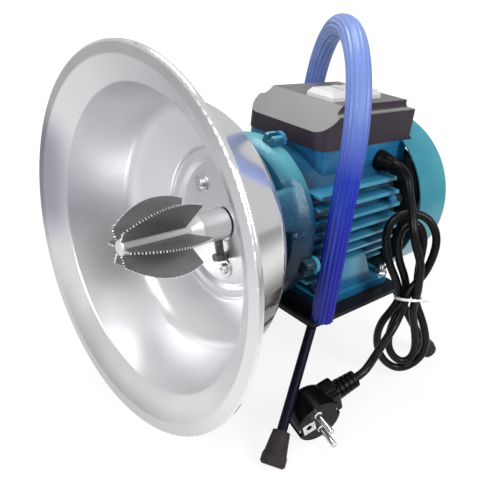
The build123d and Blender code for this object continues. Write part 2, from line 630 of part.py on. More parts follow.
def make_blades():
    """Radial leaf-shaped blades with a saw edge, set round the tube."""
    root = BURR_TUBE_R + RUN
    front = TOOTH_H
    rise = (BURR_NOSE_R - root) / NOSE_TEETH
    outline = []
    for i in range(NOSE_TEETH):
        outline.append((root + i * rise, front))
        outline.append((root + (i + 0.5) * rise, 0.0))
    pitch = BURR_LEN / TEETH
    for i in range(TEETH):
        reach = i * pitch
        middle = reach + pitch / 2
        outline.append((blade_radius(reach), front + reach))
        outline.append((blade_radius(middle) + TOOTH_H, front + middle))
    outline.append((blade_radius(BURR_LEN), front + BURR_LEN))
    outline.append((root, front + BURR_LEN - BLADE_SLANT))
    section = Plane.XZ * make_face(Polyline(*outline, close=True))
    blade = extrude(section, BLADE_T / 2, both=True)
    blades = []
    for i in range(BLADES):
        blades.append(on_shaft(BLADE_TURN + 360.0 * i / BLADES, 0, BURR_TIP_Y) * blade)
    return Compound(blades)


# ---------------------------------------------------------------- cowl
def make_cowl():
    """Sheet-steel fan cowl: skirt, rounded corner and a slotted back."""
    outline = [
        (COWL_R, COWL_Y), (COWL_R, COWL_Y1), (0, COWL_Y1), (0, COWL_Y1 - COWL_T),
        (COWL_R - COWL_T, COWL_Y1 - COWL_T), (COWL_R - COWL_T, COWL_Y),
    ]
    face = make_face(Polyline(*outline, close=True))
    outer_corner = [v for v in face.vertices() if v.X > COWL_R - 0.01 and v.Y > COWL_Y1 - 0.01]
    face = fillet(outer_corner, COWL_CORNER)
    inner_corner = [v for v in face.vertices()
                    if abs(v.X - COWL_R + COWL_T) < 0.01 and abs(v.Y - COWL_Y1 + COWL_T) < 0.01]
    face = fillet(inner_corner, COWL_CORNER - COWL_T)
    cowl = SHAFT_LINE * revolve(Plane.XZ * face, Axis.Z)
    notch = PEDESTAL_HALF + 3.0
    low = SHAFT_HEIGHT + 40
    high = SHAFT_HEIGHT + 100
    cowl -= block(BOX_X - notch, BOX_X + notch, COWL_Y - 1, PEDESTAL_Y1 + 2.0, low, high)
    for radius in (22.0, 36.0, 50.0, 62.0):
        count = 6 if radius < 30 else 8
        for i in range(count):
            cowl -= slot_cut(radius, 360.0 / count * (i + 0.5), 360.0 / count - 700.0 / radius)
    for angle in COWL_SCREWS:
        hole = Rot(0, 90, 0) * Cylinder(2.0 + RUN, 8.0)
        cowl -= on_shaft(angle, COWL_R, COWL_Y + 6) * hole
    return cowl


def slot_cut(radius, middle, spread):
    """Cutter for one curved slot in the back of the cowl."""
    width = 5.0
    ring = ring_of(
        (radius - width / 2, COWL_Y1 - 3), (radius + width / 2, COWL_Y1 - 3),
        (radius + width / 2, COWL_Y1 + 1), (radius - width / 2, COWL_Y1 + 1),
    )
    reach = 2 * COWL_R
    half = math.radians(spread / 2)
    wedge = make_face(Polyline(
        (0, 0), (reach, -reach * math.tan(half)), (reach, reach * math.tan(half)), close=True))
    return ring & (on_shaft(middle, 0, COWL_Y1 - 4) * extrude(wedge, 6.0))


def make_cowl_screws():
    """Screws through the skirt into the lugs of the rear end shield."""
    screws = []
    for angle in COWL_SCREWS:
        place = on_shaft(angle, COWL_R, COWL_Y + 6) * Rot(0, 90, 0)
        head = Cylinder(3.6, 2.2, align=BASE)
        head = fillet(head.edges().group_by(Axis.Z)[-1], 1.2)
        shank = Pos(0, 0, -6.0) * Cylinder(2.0, 6.0, align=BASE)
        screws.append(place * Pos(0, 0, 0.1) * (head + shank))
    return Compound(screws)


# ---------------------------------------------------------------- terminal cover
def cover_screw_places():
    """Two screws under the switch plate hold the cover."""
    x, y = SWITCH_AT
    reach = SWITCH_L / 2 - 6.5
    return [(x, y - reach), (x, y + reach)]


def cover_form(inset):
    """Solid form of the cover, drawn in from its faces by an inset."""
    half = COVER_HALF - inset
    y0 = COVER_Y0 + inset
    y1 = COVER_Y1 - inset
    side_top = COVER_SIDE_TOP - inset
    top = COVER_TOP - inset
    low = block(BOX_X - half, BOX_X + half, y0, y1, PEDESTAL_TOP, side_top)
    uprights = low.edges().filter_by(Axis.Z).group_by(Axis.Y)
    low = fillet(uprights[0], 13.0 - inset)
    low = fillet(low.edges().filter_by(Axis.Z).group_by(Axis.Y)[-1], 3.0 - inset if inset < 2 else 1.0)
    top_half = half - COVER_LEDGE
    high = block(BOX_X - top_half, BOX_X + top_half, y0 + 4, y1 - COVER_LEDGE - 3, side_top - 1, top)
    rise = COVER_TOP_H - COVER_EDGE_H
    tilt = math.hypot(rise, SLOPE_RUN)
    drop = inset * tilt / SLOPE_RUN
    wedge = Polyline(
        (COVER_Y0 - 5, PEDESTAL_TOP + COVER_EDGE_H - drop - 5 * rise / SLOPE_RUN),
        (COVER_Y0 + 2 * SLOPE_RUN, PEDESTAL_TOP + COVER_EDGE_H - drop + 2 * rise),
        (COVER_Y0 - 5, PEDESTAL_TOP + COVER_EDGE_H + 3 * rise),
        close=True,
    )
    cut = extrude(Plane.YZ * make_face(wedge), 2 * COVER_HALF, both=True)
    return low, high, cut


def make_cover():
    """Moulded cover over the terminals: sloped front, ledge and cove round a raised top."""
    low, high, cut = cover_form(0.0)
    shell = low + high - cut
    joint = [e for e in shell.edges() if abs(e.center().Z - COVER_SIDE_TOP) < 0.01 and on_cove(e)]
    shell = fillet(joint, COVER_COVE)
    low, high, cut = cover_form(COVER_WALL)
    cavity = low + high
    cavity -= cut
    shell -= cavity
    for x, y in cover_screw_places():
        shell -= Pos(x, y, PEDESTAL_TOP) * Cylinder(2.0 + RUN, 60.0, align=BASE)
    return shell


def on_cove(edge):
    """True for the edges where the raised top stands on the ledge."""
    inner = COVER_HALF - COVER_LEDGE
    at = edge.center()
    on_side = abs(abs(at.X - BOX_X) - inner) < 0.01
    on_back = abs(at.Y - (COVER_Y1 - COVER_LEDGE - 3)) < 0.01
    return on_side or on_back


def make_cover_screws():
    """Long screws down through the cover into posts of the pedestal."""
    screws = []
    for x, y in cover_screw_places():
        top = COVER_TOP
        shank = Pos(x, y, PEDESTAL_TOP) * Cylinder(2.0, top - PEDESTAL_TOP, align=BASE)
        head = Pos(x, y, top) * Cylinder(3.6, 2.0, align=BASE)
        head = fillet(head.edges().group_by(Axis.Z)[-1], 1.0)
        screws.append(head + shank)
    return Compound(screws)


def make_capacitor():
    """Run capacitor that lies in the cover."""
    radius = 12.0
    x = BOX_X - COVER_HALF + COVER_WALL + radius + SEAT
    return Pos(x, COVER_Y0 + 34, PEDESTAL_TOP + radius) * Rot(-90, 0, 0) * Cylinder(radius, 56.0, align=BASE)


def make_terminal_block():
    """Terminal strip on the floor of the pedestal."""
    block_z = PEDESTAL_TOP - 5.0
    strip = block(-26, 26, HOUSING_Y1 + 8, HOUSING_Y1 + 24, block_z, block_z + 12)
    for i in range(4):
        strip -= Pos(-18 + 12 * i, HOUSING_Y1 + 16, block_z + 9) * Cylinder(2.5, 8.0, align=BASE)
    return strip


def make_switch_base():
    """Bevelled switch plate with a pocket for the rocker."""
    x, y = SWITCH_AT
    lower = Rectangle(SWITCH_W, SWITCH_L)
    plate = extrude(lower, 3.0)
    plate += Pos(0, 0, 3.0) * extrude(lower, SWITCH_H - 3.0, taper=35.0)
    plate -= Pos(0, 0, POCKET_FLOOR) * Box(ROCKER_W + 2 * SEAT, ROCKER_L + 4 * SEAT, 20.0, align=BASE)
    for screw_x, screw_y in cover_screw_places():
        plate -= Pos(screw_x - x, screw_y - y, 0) * Cylinder(4.2, 4.6)
    plate -= Pos(0, 0, SWITCH_H - ROCKER_SINK) * Rot(0, 90, 0) * Cylinder(PIN_D / 2 + RUN, ROCKER_W + 5)
    return Pos(x, y, COVER_TOP) * plate


def rocker_height():
    """Height of the rocker's pin."""
    return COVER_TOP + SWITCH_H - ROCKER_SINK


def make_rocker():
    """Rocker with a shallow V-shaped top and an underside that clears the pocket as it tilts."""
    half = ROCKER_L / 2
    belly = SWITCH_H - ROCKER_SINK - POCKET_FLOOR - 0.6
    outline = Polyline(
        (-half + 0.8, -belly * 0.5), (-half * 0.4, -belly * 0.9), (0, -belly), (half * 0.4, -belly * 0.9),
        (half - 0.8, -belly * 0.5), (half, 4.4), (half * 0.5, 4.2), (0, 3.2),
        (-half * 0.5, 4.2), (-half, 4.4), close=True,
    )
    rocker = extrude(Plane.YZ * make_face(outline), ROCKER_W / 2, both=True)
    rocker -= Rot(0, 90, 0) * Cylinder(PIN_D / 2 + RUN, 2 * ROCKER_W)
    return Pos(SWITCH_AT[0], SWITCH_AT[1], rocker_height()) * rocker


def make_rocker_pin():
    """Pin that the rocker tilts on."""
    pin = Rot(0, 90, 0) * Cylinder(PIN_D / 2, ROCKER_W + 4)
    return Pos(SWITCH_AT[0], SWITCH_AT[1], rocker_height()) * pin


# ---------------------------------------------------------------- stand
def make_plate():
    """Steel plate that carries the motor, with a window under the housing."""
    plate = block(-PLATE_HALF, PLATE_HALF, PLATE_Y0, PLATE_Y1, PLATE_BOTTOM, PLATE_TOP)
    plate = fillet(plate.edges().filter_by(Axis.Z), 5.0)
    for x, y in foot_bolt_places():
        plate -= Pos(x, y, PLATE_BOTTOM - 1) * Cylinder(FOOT_BOLT_D / 2 + RUN, PLATE_T + 2, align=BASE)
    ear_x = EAR_R * math.cos(math.radians(EAR_ANGLE - 90))
    notch_y = HOUSING_Y0 + HOUSING_EAR_LEN + EAR_HEAD_H + 2.0
    plate -= block(ear_x - 11, ear_x + 11, PLATE_Y0 - 1, notch_y, PLATE_BOTTOM - 1, PLATE_TOP + 1)
    return plate


def make_foot_bolts():
    """Bolts up through the plate, with their heads below it."""
    bolts = []
    for x, y in foot_bolt_places():
        head = Pos(x, y, PLATE_BOTTOM - 4.0) * hexagon(10.0, 4.0)
        shank = Pos(x, y, PLATE_BOTTOM) * Cylinder(FOOT_BOLT_D / 2, PLATE_T + FOOT_T + 9.0, align=BASE)
        bolts.append(head + shank)
    return Compound(bolts)


def make_foot_nuts():
    """Nuts with their washers on the sole of the foot."""
    nuts = []
    for x, y in foot_bolt_places():
        nut = Pos(x, y, FOOT_TOP + 1.2) * hexagon(10.0, 5.0)
        nut += Pos(x, y, FOOT_TOP) * Cylinder(6.5, 1.2, align=BASE)
        nut -= Pos(x, y, FOOT_TOP - 1) * Cylinder(FOOT_BOLT_D / 2 + RUN, 9.0, align=BASE)
        nuts.append(nut)
    return Compound(nuts)


def leg_ends(front, side):
    """Top and foot of a leg's middle line; side is +1 or -1."""
    inset = LEG_D / 2
    foot_x, foot_y = FRONT_FOOT if front else REAR_FOOT
    top_y = PLATE_Y0 + inset if front else PLATE_Y1 - inset
    top = Vector(side * (PLATE_HALF - inset), top_y, PLATE_BOTTOM)
    return top, Vector(side * foot_x, foot_y, 0)


def make_leg(front, side):
    """Steel rod, cut level against the underside of the plate."""
    top, foot_point = leg_ends(front, side)
    way = (foot_point - top).normalized()
    start = top - way * 12
    end = foot_point - way * 9
    rod = rod_between(start, end, LEG_D / 2)
    return rod - Pos(0, 0, PLATE_BOTTOM) * Box(600, 900, 60, align=BASE)


def make_ferrule(front, side):
    """Rubber ferrule on the end of a leg, with a flat where it meets the floor."""
    top, foot_point = leg_ends(front, side)
    way = (foot_point - top).normalized()
    lower_r = FERRULE_FOOT_D / 2
    outline = [
        (0, -2.0), (lower_r - 1.5, -2.0), (lower_r, -0.5), (lower_r, 5.0), (lower_r - 1.0, 8.0),
        (FERRULE_TOP_D / 2, FERRULE_LEN), (LEG_D / 2 + RUN, FERRULE_LEN), (LEG_D / 2 + RUN, 9.0), (0, 9.0),
    ]
    form = revolve(Plane.XZ * make_face(Polyline(*outline, close=True)), Axis.Z)
    lean = math.sqrt(1 - way.Z * way.Z)
    lift = foot_point - way * (lower_r * lean - 2.5)
    placed = Plane(origin=lift, z_dir=way * -1) * form
    socket = rod_between(top, (foot_point - way * 9), LEG_D / 2 + RUN)
    placed -= socket
    return placed - Pos(0, 0, -40) * Box(600, 900, 40, align=BASE)


# ---------------------------------------------------------------- handle
def handle_path():
    """Middle line of the handle, from the near edge of the plate over to the far edge."""
    near_x, near_y = HANDLE_NEAR
    far_x, far_y = HANDLE_FAR
    points = [
        (near_x, near_y, PLATE_TOP), (near_x, near_y, HANDLE_TOP), (far_x, far_y, HANDLE_TOP),
        (far_x, far_y, SHAFT_HEIGHT + 49.6), (-88.0, far_y - 3.0, SHAFT_HEIGHT + 3.6),
        (-76.8, HOUSING_Y1 - 16.0, PLATE_TOP),
    ]
    bends = [HANDLE_BEND_R, HANDLE_BEND_R, 40.0, 40.0]
    return FilletPolyline(*points, radius=bends)


def sweep_round(path, radius, bore=0.0):
    """A round bar or tube along a path."""
    plane = Plane(origin=path @ 0, z_dir=path % 0)
    section = Circle(radius)
    if bore:
        section -= Circle(bore)
    return sweep(plane * section, path=path)


def make_handle_rod():
    """Steel rod of the handle, welded on the plate."""
    rod = sweep_round(handle_path(), HANDLE_ROD_R)
    return rod - Pos(0, 0, PLATE_TOP - 60) * Box(600, 900, 60, align=BASE)


def make_handle_hose():
    """Hose pushed over the rod as a grip."""
    hose = sweep_round(handle_path(), HOSE_R, HOSE_BORE_R)
    return hose - Pos(0, 0, PLATE_TOP - 60 + SEAT) * Box(600, 900, 60, align=BASE)


# ---------------------------------------------------------------- cord
def cord_tube(points):
    """A cord's tube: straight runs joined by the largest arcs that they allow."""
    radii = []
    for i in range(1, len(points) - 1):
        a = Vector(points[i]) - Vector(points[i - 1])
        b = Vector(points[i + 1]) - Vector(points[i])
        turn = math.radians(a.get_angle(b))
        radii.append(0.45 * min(a.length, b.length) / math.tan(turn / 2))
    print("cord radii", [round(r, 1) for r in radii])
    path = FilletPolyline(*points, radius=radii)
    tube = sweep_round(path, CORD_D / 2)
    ratio = tube.volume / (math.pi * CORD_D ** 2 / 4 * path.length)
    print("cord length", round(path.length, 1), "volume ratio", round(ratio, 4))
    return tube


def make_gland():
    """Rubber boot that the cord leaves the pedestal by."""
    y, z = GLAND_AT
    outline = [
        (CORD_D / 2 + RUN, 0), (GLAND_R, 0), (GLAND_R, 4), (GLAND_R - 1, 6), (GLAND_R - 2.5, 14),
        (CORD_D / 2 + 2.5, GLAND_LEN - 3), (CORD_D / 2 + 1.5, GLAND_LEN), (CORD_D / 2 + RUN, GLAND_LEN),
    ]
    form = revolve(Plane.XZ * make_face(Polyline(*outline, close=True)), Axis.Z)
    return Pos(SIDE_X, y, z) * Rot(0, 90, 0) * form


def lead_route():
    """Route of the cord from inside the boot down to the hank."""
    y, z = GLAND_AT
    x = SIDE_X
    return [
        (x + 7.5, y, z), (x + 28, y, z), (x + 40.5, y - 6, z - 18.4), (x + 48.8, y - 11, z - 25.8),
    ]


def hank_place():
    """Hank's own frame: X across its spread, Y through it, Z up, origin at the tie."""
    return Location(HANK_AT, (0, 0, HANK_TURN))


def make_hank():
    """Outer shape of the tied hank: two lobes of loops and a tight waist."""
    upper = Plane.XZ * (Pos(-12.5, 42.5) * Ellipse(28.0, 37.5))
    lower = Plane.XZ * (Pos(3.0, -42.0) * Ellipse(24.0, 37.5))
    form = extrude(upper, HANK_T / 2, both=True) + extrude(lower, HANK_T / 2, both=True)
    form += Pos(HANK_WAIST_X, 0, 0) * Cylinder(HANK_WAIST_D / 2, 30.0)
    return hank_place() * form


def make_tie():
    """Tie round the waist of the hank."""
    inner = HANK_WAIST_D / 2 + 0.05
    ring = Cylinder(inner + TIE_T, TIE_W) - Cylinder(inner, 2 * TIE_W)
    return hank_place() * Pos(HANK_WAIST_X, 0, 0) * ring


def plug_place():
    """Plug's own frame: origin in the middle of its face, Z along the pins, X along the cord."""
    return Location(Plane(origin=PLUG_AT, x_dir=PLUG_CORD_WAY, z_dir=PLUG_PIN_WAY))


def relief_place():
    """Foot of the strain relief in the plug's frame: local Z runs out along the cord."""
    return Pos(PLUG_R + RELIEF_START, 0, -RELIEF_DROP) * Rot(0, 90, 0)


def make_plug():
    """Moulded plug body with its ribbed strain relief."""
    body = Pos(0, 0, -PLUG_DEPTH) * Cylinder(PLUG_R, PLUG_DEPTH, align=BASE)
    body = fillet(body.edges().group_by(Axis.Z)[0], 6.5)
    low_corner = (Align.MIN, Align.CENTER, Align.MIN)
    shoulder = Pos(0, 0, -PLUG_DEPTH + 1) * Box(PLUG_R + 6, 2 * PLUG_R - 12, PLUG_DEPTH - 6, align=low_corner)
    shoulder = fillet(shoulder.edges().filter_by(Axis.X), 5.0)
    body += fillet(shoulder.edges().group_by(Axis.X)[-1], 2.0)
    neck = Cone(RELIEF_R + 1.5, RELIEF_R, RELIEF_LEN, align=BASE)
    for i in range(4):
        groove = Cylinder(RELIEF_R + 4, 1.4) - Cylinder(RELIEF_R - 0.9, 4)
        neck -= Pos(0, 0, 6.0 + 4.4 * i) * groove
    body += relief_place() * neck
    for side in (-1, 1):
        at = Pos(0, side * PLUG_PIN_PITCH / 2, -PLUG_DEPTH / 2)
        body -= at * Cylinder(PLUG_ROOT_D / 2 + RUN, PLUG_DEPTH)
    for side in (-1, 1):
        body -= Pos(side * (PLUG_R - 1.0), 0, 0) * Box(4.0, 8.0, 2 * PLUG_DEPTH - 12)
    pocket = PLUG_EARTH_W + 2 * RUN
    body -= Pos(PLUG_EARTH_X, 0, 0) * Box(pocket, pocket, 2.4)
    body -= Pos(PLUG_EARTH_X, 0, 0) * Cylinder(2.6, 30.0)
    return plug_place() * body


def make_plug_pins():
    """Two round pins with rounded ends."""
    pins = []
    for side in (-1, 1):
        pin = Cylinder(PLUG_PIN_D / 2, PLUG_PIN_LEN, align=BASE)
        pin = fillet(pin.edges().group_by(Axis.Z)[-1], 1.4)
        root = Pos(0, 0, -PLUG_ROOT_LEN) * Cylinder(PLUG_ROOT_D / 2, PLUG_ROOT_LEN, align=BASE)
        pins.append(plug_place() * Pos(0, side * PLUG_PIN_PITCH / 2, 0) * (pin + root))
    return Compound(pins)


def make_plug_clips():
    """Earth clips in the side notches of the plug, and the earth contact in its face."""
    contact = Pos(PLUG_EARTH_X, 0, -0.7) * Box(PLUG_EARTH_W, PLUG_EARTH_W, 1.0)
    contact -= Pos(PLUG_EARTH_X, 0, 0) * Cylinder(2.4, 4.0)
    clips = [plug_place() * contact]
    for side in (-1, 1):
        x = side * (PLUG_R - 2.4)
        clip = Pos(x, 0, -PLUG_DEPTH / 2 + 4) * Box(1.2, 6.5, PLUG_DEPTH - 11)
        clips.append(plug_place() * clip)
    return Compound(clips)


def relief_end():
    """Where the cord meets the strain relief of the plug."""
    at = plug_place() * relief_place() * Pos(0, 0, RELIEF_LEN + 0.05)
    return at.position


def tail_route():
    """Route of the cord from the hank to the plug."""
    end = relief_end()
    way = Vector(PLUG_CORD_WAY).normalized()
    near = end + way * 8
    turned = near + (way + Vector(-0.34, 0, 0)).normalized() * 10
    return [(104.9, 118.6, 64.3), (107.6, 104.5, 56.9), (110.8, 88.0, 49.3), turned, near, end]


# ---------------------------------------------------------------- all pieces
def pieces():
    """Every node by name."""
    named = {
        "catch_bowl": make_bowl(),
        "bowl_washers": make_bowl_washers(),
        "bowl_screws": make_bowl_screws(),
        "front_end_shield": make_front_shield(),
        "motor_housing": make_housing(),
        "shield_bolts": make_shield_bolts(),
        "rear_end_shield": make_rear_shield(),
        "rear_shield_bolts": make_rear_bolts(),
        "front_bearing": make_bearing(FRONT_BEARING_Y),
        "rear_bearing": make_bearing(REAR_BEARING_Y),
        "shaft_seal": make_seal(),
        "wave_washer": make_wave_washer(),
        "stator_core": make_stator_core(),
        "stator_winding_front": make_winding(CORE_Y - WINDING_LEN),
        "stator_winding_rear": make_winding(CORE_Y1),
        "fan_cowl": make_cowl(),
        "cowl_screws": make_cowl_screws(),
        "terminal_cover": make_cover(),
        "cover_screws": make_cover_screws(),
        "capacitor": make_capacitor(),
        "terminal_block": make_terminal_block(),
        "switch_base": make_switch_base(),
        "switch_rocker": make_rocker(),
        "rocker_pin": make_rocker_pin(),
        "cable_gland": make_gland(),
        "cord_lead": cord_tube(lead_route()),
        "cord_hank": make_hank(),
        "cord_tie": make_tie(),
        "cord_tail": cord_tube(tail_route()),
        "plug_body": make_plug(),
        "plug_pins": make_plug_pins(),
        "plug_earth_clips": make_plug_clips(),
        "base_plate": make_plate(),
        "foot_bolts": make_foot_bolts(),
        "foot_nuts": make_foot_nuts(),
        "handle_rod": make_handle_rod(),
        "handle_hose": make_handle_hose(),
        "motor_shaft": make_shaft(),
        "rotor_core": make_rotor_core(),
        "cooling_fan": make_fan(),
        "burr_hub": make_burr_hub(),
        "burr_blades": make_blades(),
        "clamp_bolt": make_clamp_bolt(),
    }
    for front, end_name in ((True, "front"), (False, "rear")):
        for side, side_name in ((1, "near"), (-1, "far")):
            named[f"leg_{end_name}_{side_name}"] = make_leg(front, side)
            named[f"ferrule_{end_name}_{side_name}"] = make_ferrule(front, side)
    return named


os.makedirs("parts", exist_ok=True)
for name, solid in pieces().items():
    export_step(Pos(0, Y_CENTRE, 0) * solid, f"parts/{name}.step")
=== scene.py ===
"""Looks of an electric coconut scraper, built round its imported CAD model.

Metres, in the row frame: X across the machine, +Y from the bowl to the fan, +Z up. Lengths that come
from the CAD source are in its millimetres and go through at().
"""
import json
import math

import bmesh
import bpy
from mathutils import Matrix, Vector


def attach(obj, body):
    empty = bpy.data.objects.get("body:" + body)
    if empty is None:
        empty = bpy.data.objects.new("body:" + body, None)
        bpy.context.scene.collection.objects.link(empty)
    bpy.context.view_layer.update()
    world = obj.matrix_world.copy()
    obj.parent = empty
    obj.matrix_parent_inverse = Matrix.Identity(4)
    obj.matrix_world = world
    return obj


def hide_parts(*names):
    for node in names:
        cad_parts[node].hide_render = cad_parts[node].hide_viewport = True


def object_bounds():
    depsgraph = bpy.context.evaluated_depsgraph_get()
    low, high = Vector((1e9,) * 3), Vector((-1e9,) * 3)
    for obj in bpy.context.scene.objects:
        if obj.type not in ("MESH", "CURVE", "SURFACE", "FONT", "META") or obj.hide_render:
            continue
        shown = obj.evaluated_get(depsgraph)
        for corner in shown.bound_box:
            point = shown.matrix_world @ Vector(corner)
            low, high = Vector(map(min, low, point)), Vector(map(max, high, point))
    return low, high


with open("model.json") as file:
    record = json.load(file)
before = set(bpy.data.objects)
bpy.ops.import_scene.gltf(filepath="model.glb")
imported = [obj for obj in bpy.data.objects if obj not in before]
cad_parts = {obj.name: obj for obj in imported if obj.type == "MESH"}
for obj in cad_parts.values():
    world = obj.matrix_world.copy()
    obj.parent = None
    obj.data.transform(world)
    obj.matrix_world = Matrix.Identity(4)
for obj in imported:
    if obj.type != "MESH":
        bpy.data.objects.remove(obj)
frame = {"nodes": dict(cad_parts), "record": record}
cad_low, cad_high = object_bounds()

Y_CENTRE = -57.3           # the CAD source builds with y = 0 at the seat of the bowl
SHAFT_Z = 146.4
SHAFT_UP = SHAFT_Z / 1000
CORD_D = 7.0


def at(x, y, z):
    """A point of the CAD source, in its millimetres, as metres in the row frame."""
    return Vector((x / 1000, (y + Y_CENTRE) / 1000, z / 1000))


# ---------------------------------------------------------------- node helpers
class Nodes:
    """Shorthand for wiring one node tree."""

    def __init__(self, tree):
        self.tree = tree

    def feed(self, socket, value):
        """Joins a socket to another one, or gives it a constant."""
        if isinstance(value, bpy.types.NodeSocket):
            self.tree.links.new(value, socket)
        elif socket.type == "RGBA":
            socket.default_value = (*value, 1)
        else:
            socket.default_value = value

    def node(self, kind, **values):
        """A new node. Each value goes to the input of that name, or else to the setting."""
        made = self.tree.nodes.new(kind)
        for key, value in values.items():
            name = key.replace("_", " ")
            if name in made.inputs:
                self.feed(made.inputs[name], value)
            else:
                setattr(made, key, value)
        return made

    def fed(self, kind, inputs, **values):
        """A new node whose first inputs are given in their order."""
        made = self.node(kind, **values)
        for socket, value in zip(made.inputs, inputs):
            self.feed(socket, value)
        return made

    def math(self, kind, a, b):
        return self.fed("ShaderNodeMath", (a, b), operation=kind).outputs[0]

    def times(self, first, *others):
        product = first
        for value in others:
            product = self.math("MULTIPLY", product, value)
        return product

    def vector(self, kind, *values):
        """Vector arithmetic. Lengths and dot products come out as numbers."""
        made = self.fed("ShaderNodeVectorMath", values, operation=kind)
        return made.outputs["Value" if kind in ("LENGTH", "DOT_PRODUCT") else "Vector"]

    def part_of(self, vector, which):
        """One coordinate of a vector."""
        return self.fed("ShaderNodeSeparateXYZ", (vector,)).outputs["XYZ".index(which)]

    def remap(self, value, low, high, to_low=0.0, to_high=1.0, kind="SMOOTHSTEP"):
        """A number that goes from to_low to to_high while value goes from low to high."""
        made = self.node(
            "ShaderNodeMapRange", interpolation_type=kind, Value=value, From_Min=low, From_Max=high,
            To_Min=to_low, To_Max=to_high,
        )
        return made.outputs["Result"]

    def window(self, value, start, full, still, end):
        """1 between full and still, easing to 0 at start and end."""
        return self.times(self.remap(value, start, full), self.remap(value, still, end, 1.0, 0.0))

    def ramp(self, value, *stops):
        """Colours at places along 0 to 1."""
        made = self.node("ShaderNodeValToRGB", Fac=value)
        elements = made.color_ramp.elements
        while len(elements) < len(stops):
            elements.new(0.5)
        for element, (place, colour) in zip(elements, stops):
            element.position = place
            element.color = (*colour, 1)
        return made.outputs["Color"]

    def mix(self, share, a, b):
        """Colour a, going over to b by a share of 0 to 1."""
        made = self.node("ShaderNodeMix", data_type="RGBA")
        for place, value in ((0, share), (6, a), (7, b)):
            self.feed(made.inputs[place], value)
        return made.outputs[2]

    def blend(self, share, a, b):
        """Shader a, going over to b by a share of 0 to 1."""
        return self.fed("ShaderNodeMixShader", (share, a.outputs[0], b.outputs[0])).outputs[0]


MATERIALS = {}


class Mat(Nodes):
    """A small builder for one procedural material, kept in MATERIALS under its name."""

    def __init__(self, name, **values):
        made = bpy.data.materials.new(name)
        made.use_nodes = True
        MATERIALS[name] = made
        super().__init__(made.node_tree)
        self.shader = self.tree.nodes["Principled BSDF"]
        for key, value in values.items():
            self.shader.inputs[key.replace("_", " ")].default_value = value
        self.place = self.node("ShaderNodeTexCoord").outputs["Object"]

    def mapped(self, scale):
        """The place on the piece, with each axis scaled."""
        return self.node("ShaderNodeMapping", Vector=self.place, Scale=scale).outputs["Vector"]

    def noise(self, scale, detail=3.0, rough=0.5, vector=None, distortion=0.0):
        made = self.node(
            "ShaderNodeTexNoise", Vector=vector or self.place, Scale=scale, Detail=detail,
            Roughness=rough, Distortion=distortion,
        )
        return made.outputs["Fac"]

    def axis(self, which):
        return self.part_of(self.place, which)

    def normal_z(self):
        return self.part_of(self.node("ShaderNodeNewGeometry").outputs["Normal"], "Z")

    def towards(self, place):
        """How far the surface faces a place: 1 straight at it, -1 straight away."""
        here = self.node("ShaderNodeNewGeometry").outputs
        way = self.vector("SUBTRACT", place, here["Position"])
        return self.vector("DOT_PRODUCT", self.vector("NORMALIZE", way), here["Normal"])

    def tones(self, noise, a, b, low=0.3, high=0.7):
        """Colour a going over to b, across the usual range of a noise."""
        return self.ramp(noise, (low, a), (high, b))

    def colour(self, value):
        self.feed(self.shader.inputs["Base Color"], value)

    def rough(self, noise, low, high):
        """Roughness from low to high, across the usual range of a noise."""
        self.feed(self.shader.inputs["Roughness"], self.remap(noise, 0.3, 0.7, low, high))

    def bump(self, height, strength, distance):
        made = self.node("ShaderNodeBump", Strength=strength, Distance=distance, Height=height)
        self.feed(self.shader.inputs["Normal"], made.outputs["Normal"])


# ---------------------------------------------------------------- finishes
def spun_aluminium():
    """Satin on the side that holds the food, and polished behind, with a dark reflection painted on the
    polished side, and a painted highlight and painted shade on the satin side.
    """
    m = Mat("spun_aluminium", Metallic=0.86, Specular_IOR_Level=0.5)
    in_front = (0.0, -0.30, SHAFT_UP)
    inside = m.remap(m.towards(in_front), -0.05, 0.15)
    x, y, z = (m.axis(which) for which in "XYZ")

    # painted reflection: a wavy dark streak on the polished outer wall, standing for something dark mirrored
    # in it
    wavy = m.noise(16.0, vector=m.mapped((1, 1.6, 1)), distortion=0.8)
    behind = m.window(m.math("ADD", y, m.times(wavy, 0.06)), -0.108, -0.090, -0.043, -0.028)
    dark_reflection = m.times(behind, m.window(z, 0.045, 0.075, 0.145, 0.175))
    polished = m.mix(dark_reflection, (0.88, 0.88, 0.88), (0.13, 0.11, 0.105))

    satin = m.tones(m.noise(7.0, 2.0, distortion=0.4), (0.66, 0.66, 0.69), (0.86, 0.86, 0.86))
    # painted highlight: a bright pool on the satin wall near the bottom of the bowl
    lit_foot = m.times(m.window(x, -0.07, -0.02, 0.05, 0.09), m.remap(z, 0.055, 0.085, 1.0, 0.0), 0.7)
    satin = m.mix(lit_foot, satin, (0.98, 0.98, 0.97))
    # painted shade: the low front of the lip darkened to grey
    shaded_low_lip = m.times(m.remap(y, -0.150, -0.140, 1.0, 0.0), m.remap(z, 0.0, 0.12, 1.0, 0.0))
    satin = m.mix(shaded_low_lip, satin, (0.56, 0.555, 0.55))
    # painted shade: the left wall darkened and made bluish
    shaded_side = m.times(
        m.window(x, -0.30, -0.20, -0.125, -0.095), m.window(z, 0.085, 0.135, 0.185, 0.235), 0.9)
    satin = m.mix(shaded_side, satin, (0.30, 0.30, 0.36))

    m.colour(m.mix(inside, polished, satin))
    dull = m.remap(m.noise(24.0), 0.3, 0.7, 0.29, 0.35)
    gloss = m.remap(inside, 0.0, 1.0, 0.12, 0.0)
    m.feed(m.shader.inputs["Roughness"], m.math("ADD", m.times(dull, inside), gloss))


def brushed(name, tone_a, tone_b, rough_a, rough_b, scale, stretch=(1, 1, 1), bump=0.08, metal=1.0):
    """Plain bright or grey metal with small scratches."""
    m = Mat(name, Metallic=metal)
    scratches = m.noise(scale, 4.0, 0.6, m.mapped(stretch))
    m.colour(m.tones(scratches, tone_a, tone_b, high=0.72))
    m.rough(scratches, rough_a, rough_b)
    m.bump(scratches, bump, 0.0003)


